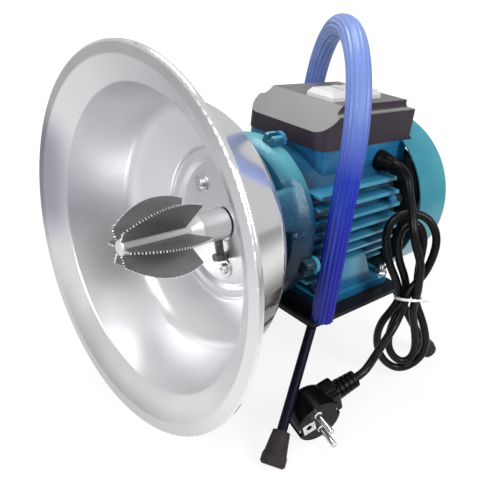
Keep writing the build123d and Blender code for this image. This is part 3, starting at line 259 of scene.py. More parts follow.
def paint_fin_shade_and_highlights(m, paint):
    """Paints shade into the gaps between the housing's fins, and paints highlights on the fins' tips."""
    across = m.axis("X")
    up = m.math("SUBTRACT", m.axis("Z"), SHAFT_UP)
    reach = m.math("POWER", m.math("ADD", m.times(across, across), m.times(up, up)), 0.5)
    # painted shade between the fins
    paint = m.mix(m.remap(reach, 0.0580, 0.0670, 0.75, 0.0), paint, (0.002, 0.018, 0.055))
    # painted highlight on the fins' tips
    tips = m.times(m.remap(reach, 0.0670, 0.0695), m.window(up, -0.050, -0.046, 0.046, 0.050), 0.7)
    return m.mix(tips, paint, (0.07, 0.30, 0.42))


def cast_paint(
    name, deep, light, grain=420.0, strength=0.35, coat=0.35, lit_top_tone=(0.03, 0.24, 0.42), shade_heights=None,
    fin_shading=False,
):
    """Gloss paint over the pebbled skin of a casting: paler where it faces up, as painted light, and
    if asked, dark low down between two given heights, as painted shade."""
    m = Mat(name, Metallic=0.0, Coat_Weight=coat, Coat_Roughness=0.12, Specular_IOR_Level=0.3)
    paint = m.tones(m.noise(22.0, 3.0, 0.55), deep, light, low=0.32)
    # painted light: paler where the surface faces up
    paint = m.mix(m.remap(m.normal_z(), 0.35, 1.0), paint, lit_top_tone)
    # painted shade between the fins and painted highlights on their tips
    if fin_shading:
        paint = paint_fin_shade_and_highlights(m, paint)
    # painted shade: dark low down, fading out between the two given heights
    if shade_heights:
        paint = m.mix(m.remap(m.axis("Z"), *shade_heights, 0.85, 0.0), paint, (0.002, 0.006, 0.016))
    m.colour(paint)
    pebble = m.noise(grain, 3.0, 0.6)
    m.rough(pebble, 0.28, 0.44)
    m.bump(pebble, strength, 0.0006)


def sheet_paint(name):
    """Smoother gloss paint of the pressed cowl, with faint orange peel."""
    m = Mat(name, Coat_Weight=0.15, Coat_Roughness=0.12, Specular_IOR_Level=0.25)
    m.colour(m.tones(m.noise(14.0, 2.0), (0.026, 0.200, 0.275), (0.050, 0.285, 0.345)))
    peel = m.noise(300.0, 2.0)
    m.rough(peel, 0.26, 0.34)
    m.bump(peel, 0.06, 0.0003)


def dark_paint(name, deep, light, rough=0.35, shine=0.15):
    """Dark paint on bar, plate or casting."""
    m = Mat(name, Specular_IOR_Level=shine)
    grain = m.noise(160.0, 4.0, 0.6)
    m.colour(m.tones(grain, deep, light))
    m.rough(grain, rough, rough + 0.18)
    m.bump(grain, 0.15, 0.0004)


def cover_plastic(name):
    """Grained dark plastic, with painted light: pale on its slopes and grey on its flat top."""
    m = Mat(name, Specular_IOR_Level=0.45)
    patch = m.noise(25.0)
    walls = m.tones(patch, (0.016, 0.010, 0.017), (0.034, 0.022, 0.034))
    # painted light: the slopes and the flat top are lighter than the dark walls
    slopes = m.tones(patch, (0.23, 0.235, 0.22), (0.31, 0.315, 0.30))
    up = m.normal_z()
    lit_upper_faces = m.mix(m.remap(up, 0.93, 0.995), slopes, (0.115, 0.112, 0.110))
    m.colour(m.mix(m.remap(up, 0.55, 0.93), walls, lit_upper_faces))
    m.rough(patch, 0.48, 0.62)
    m.bump(m.noise(900.0, 2.0), 0.25, 0.0003)


def plain_plastic(name, low, high, rough, grain=350.0, strength=0.05, coat=0.0, shine=0.5):
    m = Mat(name, Coat_Weight=coat, Coat_Roughness=0.15, Specular_IOR_Level=shine)
    patch = m.noise(30.0)
    m.colour(m.tones(patch, low, high))
    m.rough(patch, rough, rough + 0.12)
    m.bump(m.noise(grain, 2.0), strength, 0.0003)


def rubber(name, low, high):
    """Matt rubber with draw marks."""
    m = Mat(name, Specular_IOR_Level=0.2)
    drawn = m.noise(140.0, 4.0, 0.6, m.mapped((1, 1, 0.2)))
    m.colour(m.tones(drawn, low, high, high=0.72))
    m.rough(drawn, 0.55, 0.75)
    m.bump(drawn, 0.2, 0.0004)


def hose_plastic(name):
    """Clear-blue ribbed PVC, with painted light: deeper low down, paler up in the arch, standing for light
    that gets into it.
    """
    m = Mat(
        name, Transmission_Weight=0.05, IOR=1.45, Coat_Weight=0.08, Coat_Roughness=0.12,
        Subsurface_Weight=0.06, Subsurface_Scale=0.003, Subsurface_Radius=(0.2, 0.3, 1.0),
        Specular_IOR_Level=0.25,
    )
    # painted light: the blue goes paler with height
    height = m.remap(m.axis("Z"), 0.10, 0.29)
    blue = m.ramp(
        height, (0.0, (0.0015, 0.003, 0.27)), (0.55, (0.006, 0.024, 0.36)), (1.0, (0.17, 0.25, 0.52)))
    flow = m.noise(60.0, vector=m.mapped((1, 1, 0.15)))
    m.colour(m.mix(m.remap(flow, 0.35, 0.75, 0.0, 0.30), blue, (0.12, 0.20, 0.62)))
    m.rough(flow, 0.20, 0.30)


def cord_jacket(name):
    m = Mat(name, Specular_IOR_Level=0.2)
    grain = m.noise(500.0, 3.0, 0.6)
    m.colour(m.tones(grain, (0.002, 0.002, 0.0022), (0.005, 0.0045, 0.005)))
    m.rough(grain, 0.26, 0.36)
    m.bump(grain, 0.08, 0.0002)


spun_aluminium()
brushed("zinc_steel", (0.50, 0.50, 0.49), (0.78, 0.78, 0.75), 0.22, 0.36, 180.0)
brushed("bright_steel", (0.58, 0.58, 0.60), (0.80, 0.80, 0.82), 0.16, 0.28, 120.0, (1, 0.1, 1))
brushed("core_steel", (0.22, 0.21, 0.22), (0.42, 0.41, 0.42), 0.35, 0.5, 900.0, (0.02, 1, 0.02), bump=0.3)
brushed("burr_steel", (0.17, 0.17, 0.171), (0.27, 0.27, 0.271), 0.40, 0.52, 90.0, (1, 0.25, 1), metal=0.5)
# ground steel of the teeth, brightened further as a painted glint
brushed("tooth_glint_steel", (0.70, 0.70, 0.70), (0.92, 0.92, 0.92), 0.30, 0.40, 700.0, metal=0.5)
# painted shade: near-black steel for the gaps between the teeth
brushed("gap_shade_steel", (0.012, 0.012, 0.012), (0.030, 0.030, 0.030), 0.45, 0.6, 500.0, metal=0.3)
brushed("burr_tube", (0.66, 0.66, 0.66), (0.84, 0.84, 0.84), 0.36, 0.48, 80.0, (1, 0.12, 1), metal=0.5)
brushed("black_bolt", (0.06, 0.06, 0.06), (0.20, 0.19, 0.18), 0.25, 0.45, 260.0)
brushed("winding", (0.20, 0.06, 0.02), (0.45, 0.17, 0.06), 0.25, 0.4, 700.0, (1, 0.05, 1), bump=0.4)
brushed("plug_brass", (0.62, 0.61, 0.58), (0.86, 0.85, 0.82), 0.12, 0.22, 200.0)
cast_paint("teal_cast", (0.006, 0.095, 0.220), (0.016, 0.170, 0.340), fin_shading=True)
# painted light on the faces that face up, painted shade low down
cast_paint(
    "teal_shield", (0.003, 0.040, 0.100), (0.012, 0.110, 0.190), grain=300.0, strength=0.8, coat=0.15,
    lit_top_tone=(0.08, 0.30, 0.36), shade_heights=(0.13, 0.19),
)
sheet_paint("teal_sheet")
dark_paint("black_cast", (0.006, 0.008, 0.012), (0.016, 0.018, 0.026))
dark_paint("black_steel", (0.006, 0.006, 0.008), (0.014, 0.014, 0.018))
dark_paint("leg_steel", (0.004, 0.004, 0.012), (0.009, 0.009, 0.022), rough=0.3, shine=0.06)
cover_plastic("cover_plastic")
plain_plastic("switch_plastic", (0.58, 0.58, 0.57), (0.66, 0.66, 0.65), 0.30, coat=0.15)
plain_plastic("capacitor_can", (0.60, 0.60, 0.57), (0.70, 0.70, 0.67), 0.35)
plain_plastic("tie_plastic", (0.75, 0.75, 0.74), (0.85, 0.85, 0.84), 0.35)
plain_plastic("plug_plastic", (0.0015, 0.0014, 0.0016), (0.004, 0.0035, 0.004), 0.24, 500.0, 0.12, shine=0.12)
plain_plastic("fan_plastic", (0.02, 0.02, 0.022), (0.035, 0.035, 0.038), 0.4)
rubber("black_rubber", (0.010, 0.008, 0.008), (0.040, 0.030, 0.034))
cord_jacket("cord_jacket")
hose_plastic("blue_hose")

SUBPART_SLOTS = {s["node"]: s["material_slot"] for s in frame["record"]["subparts"]}
OTHER_LOOKS = {"burr_hub": "burr_tube", "cable_gland": "plug_plastic"}
for name, node in frame["nodes"].items():
    node.data.materials.clear()
    node.data.materials.append(MATERIALS[OTHER_LOOKS.get(name, SUBPART_SLOTS[name])])


# ---------------------------------------------------------------- mesh helpers
def piece(name, data, body, slot, *stands_for, look=None):
    """Links a new piece, gives it its finish and sets it on its body."""
    thing = bpy.data.objects.new(name, data)
    bpy.context.scene.collection.objects.link(thing)
    if not data.materials:
        data.materials.append(MATERIALS[look or slot])
    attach(thing, body)
    if stands_for:
        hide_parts(*stands_for)
    return thing


def to_mesh(bm, name, bevel=0.0):
    """The finished mesh, with its faces turned outwards and its edges bevelled if asked."""
    bmesh.ops.recalc_face_normals(bm, faces=bm.faces)
    if bevel:
        bmesh.ops.bevel(bm, geom=bm.edges[:], offset=bevel, segments=1, affect="EDGES")
    mesh = bpy.data.meshes.new(name)
    bm.to_mesh(mesh)
    bm.free()
    return mesh


def smooth(mesh, angle=35.0):
    for face in mesh.polygons:
        face.use_smooth = True
    mesh.set_sharp_from_angle(angle=math.radians(angle))


def turned(angle):
    """The ways out from the shaft line and round it, at an angle."""
    out = Vector((math.cos(angle), 0, math.sin(angle)))
    return out, Vector((-math.sin(angle), 0, math.cos(angle)))


def carried(points):
    """A point, the way along there, and two ways square to it, for each point, with no twist."""
    frames = []
    side = None
    for i, p in enumerate(points):
        before = points[max(i - 1, 0)]
        after = points[min(i + 1, len(points) - 1)]
        way = (after - before).normalized()
        if side is None:
            side = way.orthogonal().normalized()
        else:
            side = (side - way * side.dot(way)).normalized()
        frames.append((p, way, side, way.cross(side)))
    return frames


def tube(points, radius_at, around):
    """Closed mesh tube; radius_at(i, angle) gives its radius."""
    bm = bmesh.new()
    rows = []
    for i, (p, _, side, up) in enumerate(carried(points)):
        row = []
        for k in range(around):
            a = 2 * math.pi * k / around
            r = radius_at(i, a)
            row.append(bm.verts.new(p + side * (r * math.cos(a)) + up * (r * math.sin(a))))
        rows.append(row)
    skin(bm, rows)
    return to_mesh(bm, "tube")


def skin(bm, rows):
    """Walls between closed rows of corners, and a cap at each end."""
    for low, high in zip(rows, rows[1:]):
        for i in range(len(low)):
            j = (i + 1) % len(low)
            bm.faces.new((low[i], low[j], high[j], high[i]))
    bm.faces.new(list(reversed(rows[0])))
    bm.faces.new(rows[-1])


# ---------------------------------------------------------------- cord
HANK_AT = Vector((103.7, 134.4, 86.0))
HANK_TURN = math.radians(48.3)
HANK_ACROSS = Vector((math.cos(HANK_TURN), math.sin(HANK_TURN), 0))
HANK_OUT = Vector((math.sin(HANK_TURN), -math.cos(HANK_TURN), 0))
# from the gland to the hank
LEAD = [(49.0, 137, 194.4), (69.5, 137, 194.4), (82.0, 131, 176.0), (90.3, 126, 168.6)]
# u, w, z through the hank: down the front, round the small lower loop, up the back, round the
# small upper loop, down, round the large lower loop, up, round the large upper loop, and out
TURNS = [
    (-14.5, 7.0, 156.0), (-11.0, 10.0, 144.0), (-5.5, 10.5, 133.0), (-1.6, 10.5, 124.0),
    (-0.6, 10.5, 116.0), (0.6, 10.0, 108.0), (2.0, 8.8, 100.0), (2.8, 7.0, 93.0),
    (2.9, 5.7, 86.0), (3.6, 4.6, 77.0), (7.6, 2.5, 65.0), (13.0, 1.0, 50.0),
    (16.3, 0.5, 36.5), (15.6, 0.5, 26.0), (10.9, 0.5, 20.0), (3.4, 0.5, 20.6),
    (-3.8, 0.0, 26.6), (-8.2, -1.5, 35.0), (-9.2, -3.0, 44.6), (-8.2, -4.5, 55.4),
    (-5.4, -6.4, 67.6), (-2.6, -7.2, 78.0), (-1.4, -7.1, 86.0), (-4.0, -6.2, 97.0),
    (-9.3, -4.4, 108.5), (-14.6, -3.0, 117.5), (-19.4, -2.0, 129.0), (-22.0, -2.0, 141.0),
    (-20.0, -2.5, 151.0), (-14.5, -3.0, 156.5), (-7.5, -3.2, 155.0), (-1.8, -3.6, 148.5),
    (1.2, -4.2, 139.0), (2.2, -5.0, 127.0), (3.2, -6.0, 115.0), (4.4, -6.2, 105.0),
    (5.4, -4.4, 95.5), (5.6, -2.2, 86.0), (9.0, -2.2, 78.0), (16.0, -1.8, 66.0),
    (22.0, -1.0, 53.0), (25.8, -0.5, 40.0), (24.8, -0.5, 28.5), (19.6, -0.5, 19.0),
    (11.5, -0.5, 12.4), (2.6, -0.5, 11.4), (-7.2, -0.5, 16.6), (-15.0, -0.5, 26.0),
    (-19.6, -1.0, 38.0), (-20.6, -1.6, 49.0), (-18.4, -2.2, 60.0), (-13.4, -2.4, 69.6),
    (-9.8, -2.4, 78.5), (-8.2, -2.2, 86.0), (-12.2, -1.6, 96.5), (-18.0, -0.8, 107.0),
    (-24.0, -0.4, 116.5), (-29.0, -0.8, 128.5), (-32.4, -1.6, 140.0), (-32.2, -2.6, 151.5),
    (-27.6, -3.6, 159.5), (-19.5, -4.6, 163.6), (-9.5, -4.6, 164.4), (0.8, -3.6, 160.5),
    (8.0, -2.2, 151.5), (11.0, -1.2, 141.5), (11.0, -0.6, 131.0), (9.4, 0.0, 121.0),
    (6.8, 1.0, 112.5), (2.6, 1.8, 105.0), (-1.8, 2.8, 98.0), (-4.9, 4.4, 92.0),
    (-5.6, 5.7, 86.0), (-6.2, 6.0, 78.0),
]
# from the hank to the plug
TAIL = [(104.9, 118.6, 64.3), (107.6, 104.5, 56.9), (110.8, 88.0, 49.3)]
TAIL_STRAIGHT = 8.0        # straight into the plug, after a short run that leans aside
TAIL_TURN = 10.0
TAIL_LEAN = Vector((-0.34, 0, 0))
BOOT_LEN = 0.040
BOOT_R = 0.0062
BOOT_GAP = 0.0002          # round the cord at the boot's thin end
PLUG_AT = Vector((118.5, 14.4, 19.5))
PLUG_PIN_WAY = Vector((0.972, -0.212, -0.099)).normalized()
PLUG_CORD_WAY = Vector((0.234, 0.889, 0.393)).normalized()
PLUG_X = (PLUG_CORD_WAY - PLUG_PIN_WAY * PLUG_CORD_WAY.dot(PLUG_PIN_WAY)).normalized()
PLUG_Y = PLUG_PIN_WAY.cross(PLUG_X)
RELIEF_END = PLUG_AT + PLUG_X * 46.05 + PLUG_PIN_WAY * -16.0
PIN_SIDE = 9.5
EARTH_BACK = 9.5


def hank_point(u, w, z):
    """A point of the hank: u across its spread, w out of it towards its open side, z up."""
    p = HANK_AT + HANK_ACROSS * u + HANK_OUT * w
    return at(p.x, p.y, z)


def cord_points():
    """The cord's route, from inside the gland to the end of the plug's strain relief."""
    near = RELIEF_END + PLUG_CORD_WAY * TAIL_STRAIGHT
    bent = near + (PLUG_CORD_WAY + TAIL_LEAN).normalized() * TAIL_TURN
    route = [at(*p) for p in LEAD]
    route += [hank_point(*p) for p in TURNS]
    route += [at(*p) for p in TAIL]
    route += [at(*bent), at(*near), at(*RELIEF_END)]
    return route


def make_cord():
    """One round spline along the route."""
    curve = bpy.data.curves.new("power_cord", "CURVE")
    curve.dimensions = "3D"
    curve.bevel_depth = CORD_D / 2000
    curve.bevel_resolution = 6
    curve.resolution_u = 8
    curve.use_fill_caps = True
    spline = curve.splines.new("NURBS")
    route = cord_points()
    spline.points.add(len(route) - 1)
    for point, place in zip(spline.points, route):
        point.co = (*place, 1)
    spline.use_endpoint_u = True
    spline.order_u = 3
    return piece("power_cord", curve, "stand", "cord_jacket", "cord_lead", "cord_hank", "cord_tail")


cord = make_cord()


def make_boot():
    """Soft boot that tapers along the cord where it leaves the gland."""
    route = cord_points()
    line = []
    start = route[0]
    for middle, after in zip(route[1:5], route[2:6]):
        end = (middle + after) / 2
        for i in range(8):
            t = i / 8
            line.append(start * (1 - t) ** 2 + middle * 2 * t * (1 - t) + end * t * t)
        start = end
    kept = [line[0]]
    run = [0.0]
    for point in line[1:]:
        if run[-1] > BOOT_LEN:
            break
        run.append(run[-1] + (point - kept[-1]).length)
        kept.append(point)
    taper = CORD_D / 2000 + BOOT_GAP - BOOT_R
    mesh = tube(kept, lambda i, a: BOOT_R + taper * run[i] / run[-1], 28)
    smooth(mesh)
    piece("gland_boot", mesh, "stand", "black_rubber", look="plug_plastic")


def add_rim(bm, centre, inner, outer, height):
    """A thin frame on the plug's face, between two outlines with as many corners."""
    foot = -0.3
    rows = []
    for outline, lift in ((inner, foot), (outer, foot), (outer, height), (inner, height)):
        row = []
        for u, v in outline:
            p = PLUG_AT + PLUG_X * (centre[0] + u) + PLUG_Y * (centre[1] + v) + PLUG_PIN_WAY * lift
            row.append(bm.verts.new(at(*p)))
        rows.append(row)
    for row, beside in zip(rows, rows[1:] + rows[:1]):
        for i in range(len(inner)):
            j = (i + 1) % len(inner)
            bm.faces.new((row[i], row[j], beside[j], beside[i]))


def square(half):
    return [(-half, -half), (half, -half), (half, half), (-half, half)]


def ring(radius):
    return [(radius * math.cos(math.pi * i / 14), radius * math.sin(math.pi * i / 14)) for i in range(28)]


def make_plug_face():
    """Pale collars round the pins and the frame round the earth contact."""
    bm = bmesh.new()
    for side in (-PIN_SIDE, PIN_SIDE):
        add_rim(bm, (0, side), ring(2.45), ring(3.3), 0.5)
    add_rim(bm, (-EARTH_BACK, 0), square(3.8), square(5.4), 0.35)
    piece("plug_face", to_mesh(bm, "plug_face"), "stand", "plug_brass", look="tie_plastic")


make_boot()
make_plug_face()


# ---------------------------------------------------------------- grip hose
HANDLE = [
    (77.0, 49.0, 80.0), (77.0, 49.0, 299.5), (-59.7, 152.5, 299.5), (-59.7, 152.5, 196.0),
    (-88.0, 149.5, 150.0), (-76.8, 126.0, 80.0),
]
HANDLE_BENDS = [82.0, 82.0, 40.0, 40.0]
ROD_STEP = 3.0
HOSE_R = 0.00875           # at the foot of its ribs
RIBS = 16
RIB_H = 0.00072


def bent_rod(corners, bends):
    """Points along a rod of straight runs and bends of given radii, millimetres."""
    corners = [Vector(c) for c in corners]
    line = [corners[0]]
    for before, here, after, r in zip(corners, corners[1:], corners[2:], bends):
        a = (before - here).normalized()
        b = (after - here).normalized()
        half = a.angle(b) / 2
        reach = r / math.tan(half)
        centre = here + (a + b).normalized() * (r / math.sin(half))
        start = here + a * reach - centre
        end = here + b * reach - centre
        turn = start.angle(end)
        count = max(4, int(r * turn / ROD_STEP))
        for i in range(count + 1):
            t = i / count
            arm = (start * math.sin((1 - t) * turn) + end * math.sin(t * turn)) / math.sin(turn)
            line.append(centre + arm)
    line.append(corners[-1])
    even = [line[0]]
    for p, q in zip(line, line[1:]):
        count = max(1, int((q - p).length / ROD_STEP))
        for i in range(count):
            even.append(p + (q - p) * ((i + 1) / count))
    return even


def make_hose():
    """Hose with raised ribs along it."""
    line = [at(*p) for p in bent_rod(HANDLE, HANDLE_BENDS)]

    def radius(_, a):
        wave = 0.5 + 0.5 * math.cos(RIBS * a)
        return HOSE_R + RIB_H * wave ** 1.6
    mesh = tube(line, radius, RIBS * 8)
    smooth(mesh, 60)
    piece("grip_hose", mesh, "stand", "blue_hose", "handle_hose")


make_hose()


# ---------------------------------------------------------------- burr blades
BURR_TIP_Y = -97.0
TUBE_R = 6.2
BLADE_LEN = 64.5
BLADE_R = 32.4
BELLY = 42.0
NOSE_R = 14.6
BLADE_T = 1.6
BLADE_TURN = 8.4
SLANT = 9.0
TEETH = 30
NOSE_TEETH = 4
TOOTH_H = 1.2
GAP_H = 0.2
FRONT_GAP = 0.02           # the teeth on the nose stop this far behind the burr's front


def blade_radius(reach):
    peak = BLADE_R - TOOTH_H
    return peak - (peak - NOSE_R) * ((reach - BELLY) / BELLY) ** 2


def blade_edge():
    """Foot line of the teeth, as (radius, distance behind the front)."""
    line = []
    for i in range(2 * NOSE_TEETH):
        line.append((TUBE_R + (NOSE_R - TUBE_R) * i / (2 * NOSE_TEETH), TOOTH_H))
    for i in range(2 * TEETH + 1):
        reach = BLADE_LEN * i / (2 * TEETH)
        line.append((blade_radius(reach), TOOTH_H + reach))
    return line


def add_blade(bm, angle):
    """A leaf-shaped blade: ground teeth, set a little to each side, bright with a painted glint, and dark
    gaps between them as painted shade.
    """
    out, flat = turned(angle)
    half = BLADE_T / 2
    edge = blade_edge()
    body = edge + [(TUBE_R, TOOTH_H + BLADE_LEN - SLANT)]

    def put(r, y, side):
        return bm.verts.new(at(*(Vector((0, BURR_TIP_Y + y, SHAFT_Z)) + out * r + flat * side)))
    left = [put(r, y, -half) for r, y in body]
    right = [put(r, y, half) for r, y in body]
    bm.faces.new(left)
    bm.faces.new(list(reversed(right)))
    for i, (r0, y0) in enumerate(body):
        j = (i + 1) % len(body)
        if i >= len(edge) - 1:
            bm.faces.new((left[i], left[j], right[j], right[i]))
            continue
        r1, y1 = body[j]
        along = Vector((r1 - r0, y1 - y0))
        normal = Vector((along.y, -along.x)).normalized()
        bright = i % 2 == 0
        height = TOOTH_H if bright else GAP_H
        lean = 0.0 if not bright else half * (0.8 if i % 4 else -0.8)
        tip_y = max((y0 + y1) / 2 + normal.y * height, FRONT_GAP)
        tip = put((r0 + r1) / 2 + normal.x * height, tip_y, lean)
        corners = (left[i], left[j], right[j], right[i])
        for a, b in zip(corners, corners[1:] + corners[:1]):
            face = bm.faces.new((a, b, tip))
            # the teeth take the painted glint, the gaps the painted shade
            face.material_index = 1 if bright else 2


def make_blades():
    bm = bmesh.new()
    for n in range(6):
        add_blade(bm, math.radians(BLADE_TURN + 60.0 * n))
    mesh = to_mesh(bm, "burr_blades_ground")
    for look in ("burr_steel", "tooth_glint_steel", "gap_shade_steel"):
        mesh.materials.append(MATERIALS[look])
    piece("ground_blades", mesh, "rotor", "burr_steel", "burr_blades")


make_blades()


# ---------------------------------------------------------------- end shield
HUB_R = 24.2
SEAT_R = 47.0
SHIELD_LEN = 32.5
SPIGOT_R = 54.97
SHIELD_STEPS = 192
ARM_TURN = 27.0
ARM_HALF = 13.5
ARM_EASE = 5.0
# outlines round the shaft as (radius, y) pairs: through an arm, and through a hollow between arms
ARM_LINE = [
    (11.5, 0.0), (16.5, 0.0), (HUB_R, 0.0), (SEAT_R, 0.0), (52.0, 0.6), (57.0, 5.0), (61.5, 11.0),
    (65.5, 16.5), (68.4, 21.5), (68.6, 24.0),
]
HOLLOW_LINE = [
    (11.5, 0.0), (16.5, 0.0), (HUB_R, 0.0), (SEAT_R, 0.0), (48.0, 5.0), (50.5, 17.0), (55.0, 17.5),
    (58.0, 14.6), (63.5, 14.0), (67.4, 17.0),
]
# the same all round: over the ring, and back along the spigot and the bearing's seat
REST_LINE = [
    (69.4, 25.0), (70.0, 28.5), (69.6, 32.4), (SPIGOT_R, SHIELD_LEN), (SPIGOT_R, 36.5), (51.0, 36.5),
    (51.0, 26.0), (HUB_R, 21.0), (HUB_R, 24.0), (20.03, 24.0), (20.03, 12.0), (16.0, 12.0), (15.03, 9.0),
    (15.03, 1.5), (11.5, 1.5),
]
EAR_TURN = -13.0
EAR_R = 71.0
EAR_FRONT = 22.6
EAR_BACK = 32.4
EAR_LINE = [
    (-9.0, -6.8), (2.5, -6.8), (5.0, -5.6), (5.6, -4.6), (5.6, -2.5), (0.5, -2.2), (0.5, 2.2), (5.6, 2.5),
    (5.6, 4.6), (5.0, 5.6), (2.5, 6.8), (-9.0, 6.8),
]


def eased(t):
    t = min(max(t, 0.0), 1.0)
    return t * t * (3 - 2 * t)


def add_ear(bm, angle):
    """A cast ear, slotted for its bolt, with its front edge rounded."""
    out, side = turned(angle)
    rows = []
    for y, share in ((EAR_FRONT, 0.82), (EAR_FRONT + 0.8, 0.93), (EAR_FRONT + 2.0, 1.0), (EAR_BACK, 1.0)):
        row = []
        for u, v in EAR_LINE:
            p = Vector((0, y, SHAFT_Z)) + out * (EAR_R + u * share) + side * (v * share)
            row.append(bm.verts.new(at(*p)))
        rows.append(row)
    skin(bm, rows)


def make_shield():
    """Cast end shield: rounded ring, four broad arms that melt into it, and hollows between."""
    bm = bmesh.new()
    rows = []
    for k in range(SHIELD_STEPS):
        a = 2 * math.pi * k / SHIELD_STEPS
        off = (math.degrees(a) - ARM_TURN + 45.0) % 90.0 - 45.0
        arm = 1.0 - eased((abs(off) - ARM_HALF) / ARM_EASE)
        outline = []
        for (r0, y0), (r1, y1) in zip(HOLLOW_LINE, ARM_LINE):
            outline.append((r0 + (r1 - r0) * arm, y0 + (y1 - y0) * arm))
        outline += REST_LINE
        row = []
        for r, y in outline:
            row.append(bm.verts.new(at(r * math.cos(a), y, SHAFT_Z + r * math.sin(a))))
        rows.append(row)
    for low, high in zip(rows, rows[1:] + rows[:1]):
        for i in range(len(low)):
            j = (i + 1) % len(low)
            face = bm.faces.new((low[i], low[j], high[j], high[i]))
            face.material_index = 1 if i == 0 else 0
    for n in range(4):
        add_ear(bm, math.radians(EAR_TURN + 90.0 * n))
    mesh = to_mesh(bm, "cast_shield")
    smooth(mesh, 42)
    mesh.materials.append(MATERIALS["teal_shield"])
    mesh.materials.append(MATERIALS["bright_steel"])
    piece("cast_shield", mesh, "stand", "teal_cast", "front_end_shield")


make_shield()


# ---------------------------------------------------------------- housing details
BARREL_R = 59.0
FIN_PITCH = 10.4
FIN_HALF = 1.3
SHORT_FIN_R = 64.5
SHORT_FIN_Y = (37.5, 59.1)
BOX_WALLS_X = ((37.4, 41.5), (-46.3, -42.2))
# y and z of the two blocks that make a wall
BOX_WALL_BLOCKS = (((142.02, 154.9), (193.6, 201.2)), ((154.9, 174.9), (187.2, 201.2)))


def add_box(bm, xs, ys, zs):
    """A closed box between limits, in the CAD source's millimetres."""
    corners = [bm.verts.new(at(x, y, z)) for x in xs for y in ys for z in zs]
    for quad in ((0, 1, 3, 2), (4, 6, 7, 5), (0, 4, 5, 1), (2, 3, 7, 6), (0, 2, 6, 4), (1, 5, 7, 3)):
        bm.faces.new([corners[i] for i in quad])


def make_housing_details():
    """Short fins in front of the long ones, and the box's side walls behind the housing."""
    bm = bmesh.new()
    for side in (-1, 1):
        for row in range(-4, 4):
            up = (row + 0.5) * FIN_PITCH
            root = math.sqrt(BARREL_R ** 2 - up ** 2) - 2.0
            z = SHAFT_Z + up
            add_box(bm, (side * root, side * SHORT_FIN_R), SHORT_FIN_Y, (z - FIN_HALF, z + FIN_HALF))
    for xs in BOX_WALLS_X:
        for ys, zs in BOX_WALL_BLOCKS:
            add_box(bm, xs, ys, zs)
    piece("housing_details", to_mesh(bm, "housing_details", bevel=0.00035), "stand", "teal_cast")


make_housing_details()


# ---------------------------------------------------------------- cord tie
TIE_U = -1.4               # where its middle is, across the hank
TIE_Z = 86.6
TIE_HALF_U = 11.4
TIE_HALF_W = 11.0
TIE_TILT_U = 0.06          # rise along u and w
TIE_TILT_W = 0.36
BAND_THIN = 0.0006
BAND_EXTRA = 0.0007        # the band is wider than thick
END_FROM = Vector((9.5, 4.5, 87.0))
END_RUN = Vector((6.0, 1.5, 2.0))
TWIST_R = 0.6
TWIST_TURN = 9.0
WIRE_R = 0.00055


def make_tie():
    """Plastic-coated wire tie with its ends twisted together."""
    line = []
    for i in range(37):
        a = 2 * math.pi * i / 36
        u = TIE_HALF_U * math.cos(a)
        w = TIE_HALF_W * math.sin(a)
        line.append(hank_point(TIE_U + u, w, TIE_Z + TIE_TILT_U * u + TIE_TILT_W * w))
    band = tube(line, lambda i, a: BAND_THIN + BAND_EXTRA * abs(math.sin(a)), 12)
    smooth(band)
    piece("tie_band", band, "stand", "tie_plastic", "cord_tie")
    for n in range(2):
        end = []
        for i in range(22):
            t = i / 21
            a = math.pi * n + TWIST_TURN * t
            arm = Vector((0, math.cos(a), math.sin(a))) * TWIST_R
            end.append(hank_point(*(END_FROM + END_RUN * t + arm)))
        twist = tube(end, lambda i, a: WIRE_R, 8)
        smooth(twist)
        piece("tie_end_%d" % n, twist, "stand", "tie_plastic")


make_tie()


# ---------------------------------------------------------------- stage
FLOOR_GAP = 0.0005
# painted reflection light: how brightly the floor glows in mirror images, by place along X
FLOOR_REFLECTION_GLOW = ((0.0, 0.30), (0.25, 0.42), (0.46, 0.95), (0.60, 1.0), (0.78, 0.35), (1.0, 0.22))


def stage_floor():
    """A floor that catches a soft shadow and goes over into white around it. In the bowl's mirror
    image it glows by a row of tones across a strip 2 m wide, as painted reflection light."""
    bm = bmesh.new()
    bmesh.ops.create_grid(bm, x_segments=1, y_segments=1, size=30.0)
    mesh = bpy.data.meshes.new("floor")
    bm.to_mesh(mesh)
    bm.free()
    floor = bpy.data.objects.new("floor", mesh)
    floor.location.z = cad_low.z - FLOOR_GAP
    bpy.context.scene.collection.objects.link(floor)
    finish = bpy.data.materials.new("floor")
    finish.use_nodes = True
    mesh.materials.append(finish)
    m = Nodes(finish.node_tree)
    m.tree.nodes.clear()
    place = m.node("ShaderNodeTexCoord").outputs["Object"]
    ray = m.node("ShaderNodeLightPath").outputs
    seen = ray["Is Camera Ray"]
    fade = m.remap(m.vector("LENGTH", place), 0.25, 0.80, 0.78, 1.0)
    share = m.remap(m.part_of(place, "X"), -1.0, 1.0, kind="LINEAR")
    # painted reflection light: the floor's glow in mirror images, by place
    tones = m.ramp(share, *((spot, (tone, tone, tone)) for spot, tone in FLOOR_REFLECTION_GLOW))
    power = m.math("ADD", m.times(seen, 1.10), m.times(tones, m.math("SUBTRACT", 1.0, seen)))
    glowing = m.math("ADD", m.times(seen, fade), m.times(ray["Is Glossy Ray"], 0.8))
    diffuse = m.node("ShaderNodeBsdfDiffuse", Color=(0.70, 0.70, 0.71))
    glow = m.node("ShaderNodeEmission", Color=(1, 1, 1), Strength=power)
    m.node("ShaderNodeOutputMaterial", Surface=m.blend(glowing, diffuse, glow))


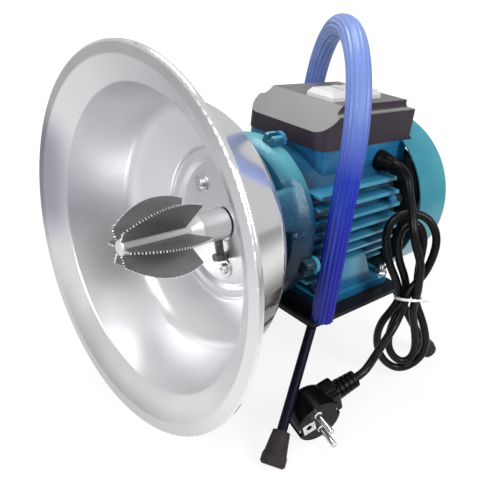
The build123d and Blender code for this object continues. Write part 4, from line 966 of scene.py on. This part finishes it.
def world_light():
    """White to the camera, dim and cool as a light, and in between in mirror images."""
    world = bpy.data.worlds.new("studio")
    bpy.context.scene.world = world
    world.use_nodes = True
    m = Nodes(world.node_tree)
    m.tree.nodes.clear()
    ray = m.node("ShaderNodeLightPath").outputs
    share = m.math("MAXIMUM", ray["Is Camera Ray"], m.times(ray["Is Glossy Ray"], 0.35))
    white = m.node("ShaderNodeBackground", Color=(1, 1, 1), Strength=1.0)
    fill = m.node("ShaderNodeBackground", Color=(0.93, 0.95, 1.0), Strength=0.28)
    m.node("ShaderNodeOutputWorld", Surface=m.blend(share, fill, white))


def area_light(name, place, target, width, height, power):
    light = bpy.data.lights.new(name, "AREA")
    light.shape = "RECTANGLE"
    light.size = width
    light.size_y = height
    light.energy = power
    lamp = bpy.data.objects.new(name, light)
    lamp.location = place
    lamp.rotation_euler = (Vector(target) - Vector(place)).to_track_quat("-Z", "Y").to_euler()
    bpy.context.scene.collection.objects.link(lamp)


stage_floor()
world_light()
area_light("key", (0.25, -1.05, 0.80), (0, -0.05, 0.15), 0.7, 0.6, 10.0)
area_light("side", (1.15, 0.15, 0.95), (0, 0.05, 0.15), 0.5, 0.8, 13.0)
area_light("top", (-0.55, 0.05, 1.35), (0, 0, 0.15), 0.8, 0.7, 14.0)


# ---------------------------------------------------------------- camera
CAMERA_AT = (0.32599, -0.34896, 0.33439)
CAMERA_AZIMUTH = math.radians(45.67)
CAMERA_ELEVATION = math.radians(25.05)
CAMERA_ROLL = math.radians(6.60)
CAMERA_LENS = 43.34


def studio_camera():
    """Slightly above the machine, in front of its right side, tipped a little."""
    right = Vector((math.cos(CAMERA_AZIMUTH), math.sin(CAMERA_AZIMUTH), 0))
    level = Vector((math.sin(CAMERA_AZIMUTH), -math.cos(CAMERA_AZIMUTH), 0))
    back = level * math.cos(CAMERA_ELEVATION) + Vector((0, 0, math.sin(CAMERA_ELEVATION)))
    up = back.cross(right)
    tipped_right = right * math.cos(CAMERA_ROLL) + up * math.sin(CAMERA_ROLL)
    tipped_up = up * math.cos(CAMERA_ROLL) - right * math.sin(CAMERA_ROLL)
    data = bpy.data.cameras.new("camera")
    data.sensor_width = 36.0
    data.lens = CAMERA_LENS
    data.clip_start = 0.01
    data.clip_end = 100
    camera = bpy.data.objects.new("camera", data)
    turn = Matrix((tipped_right, tipped_up, back)).transposed()
    camera.matrix_world = Matrix.Translation(CAMERA_AT) @ turn.to_4x4()
    bpy.context.scene.collection.objects.link(camera)
    bpy.context.scene.camera = camera


studio_camera()
bpy.context.scene.view_settings.view_transform = "Standard"

bpy.context.view_layer.update()
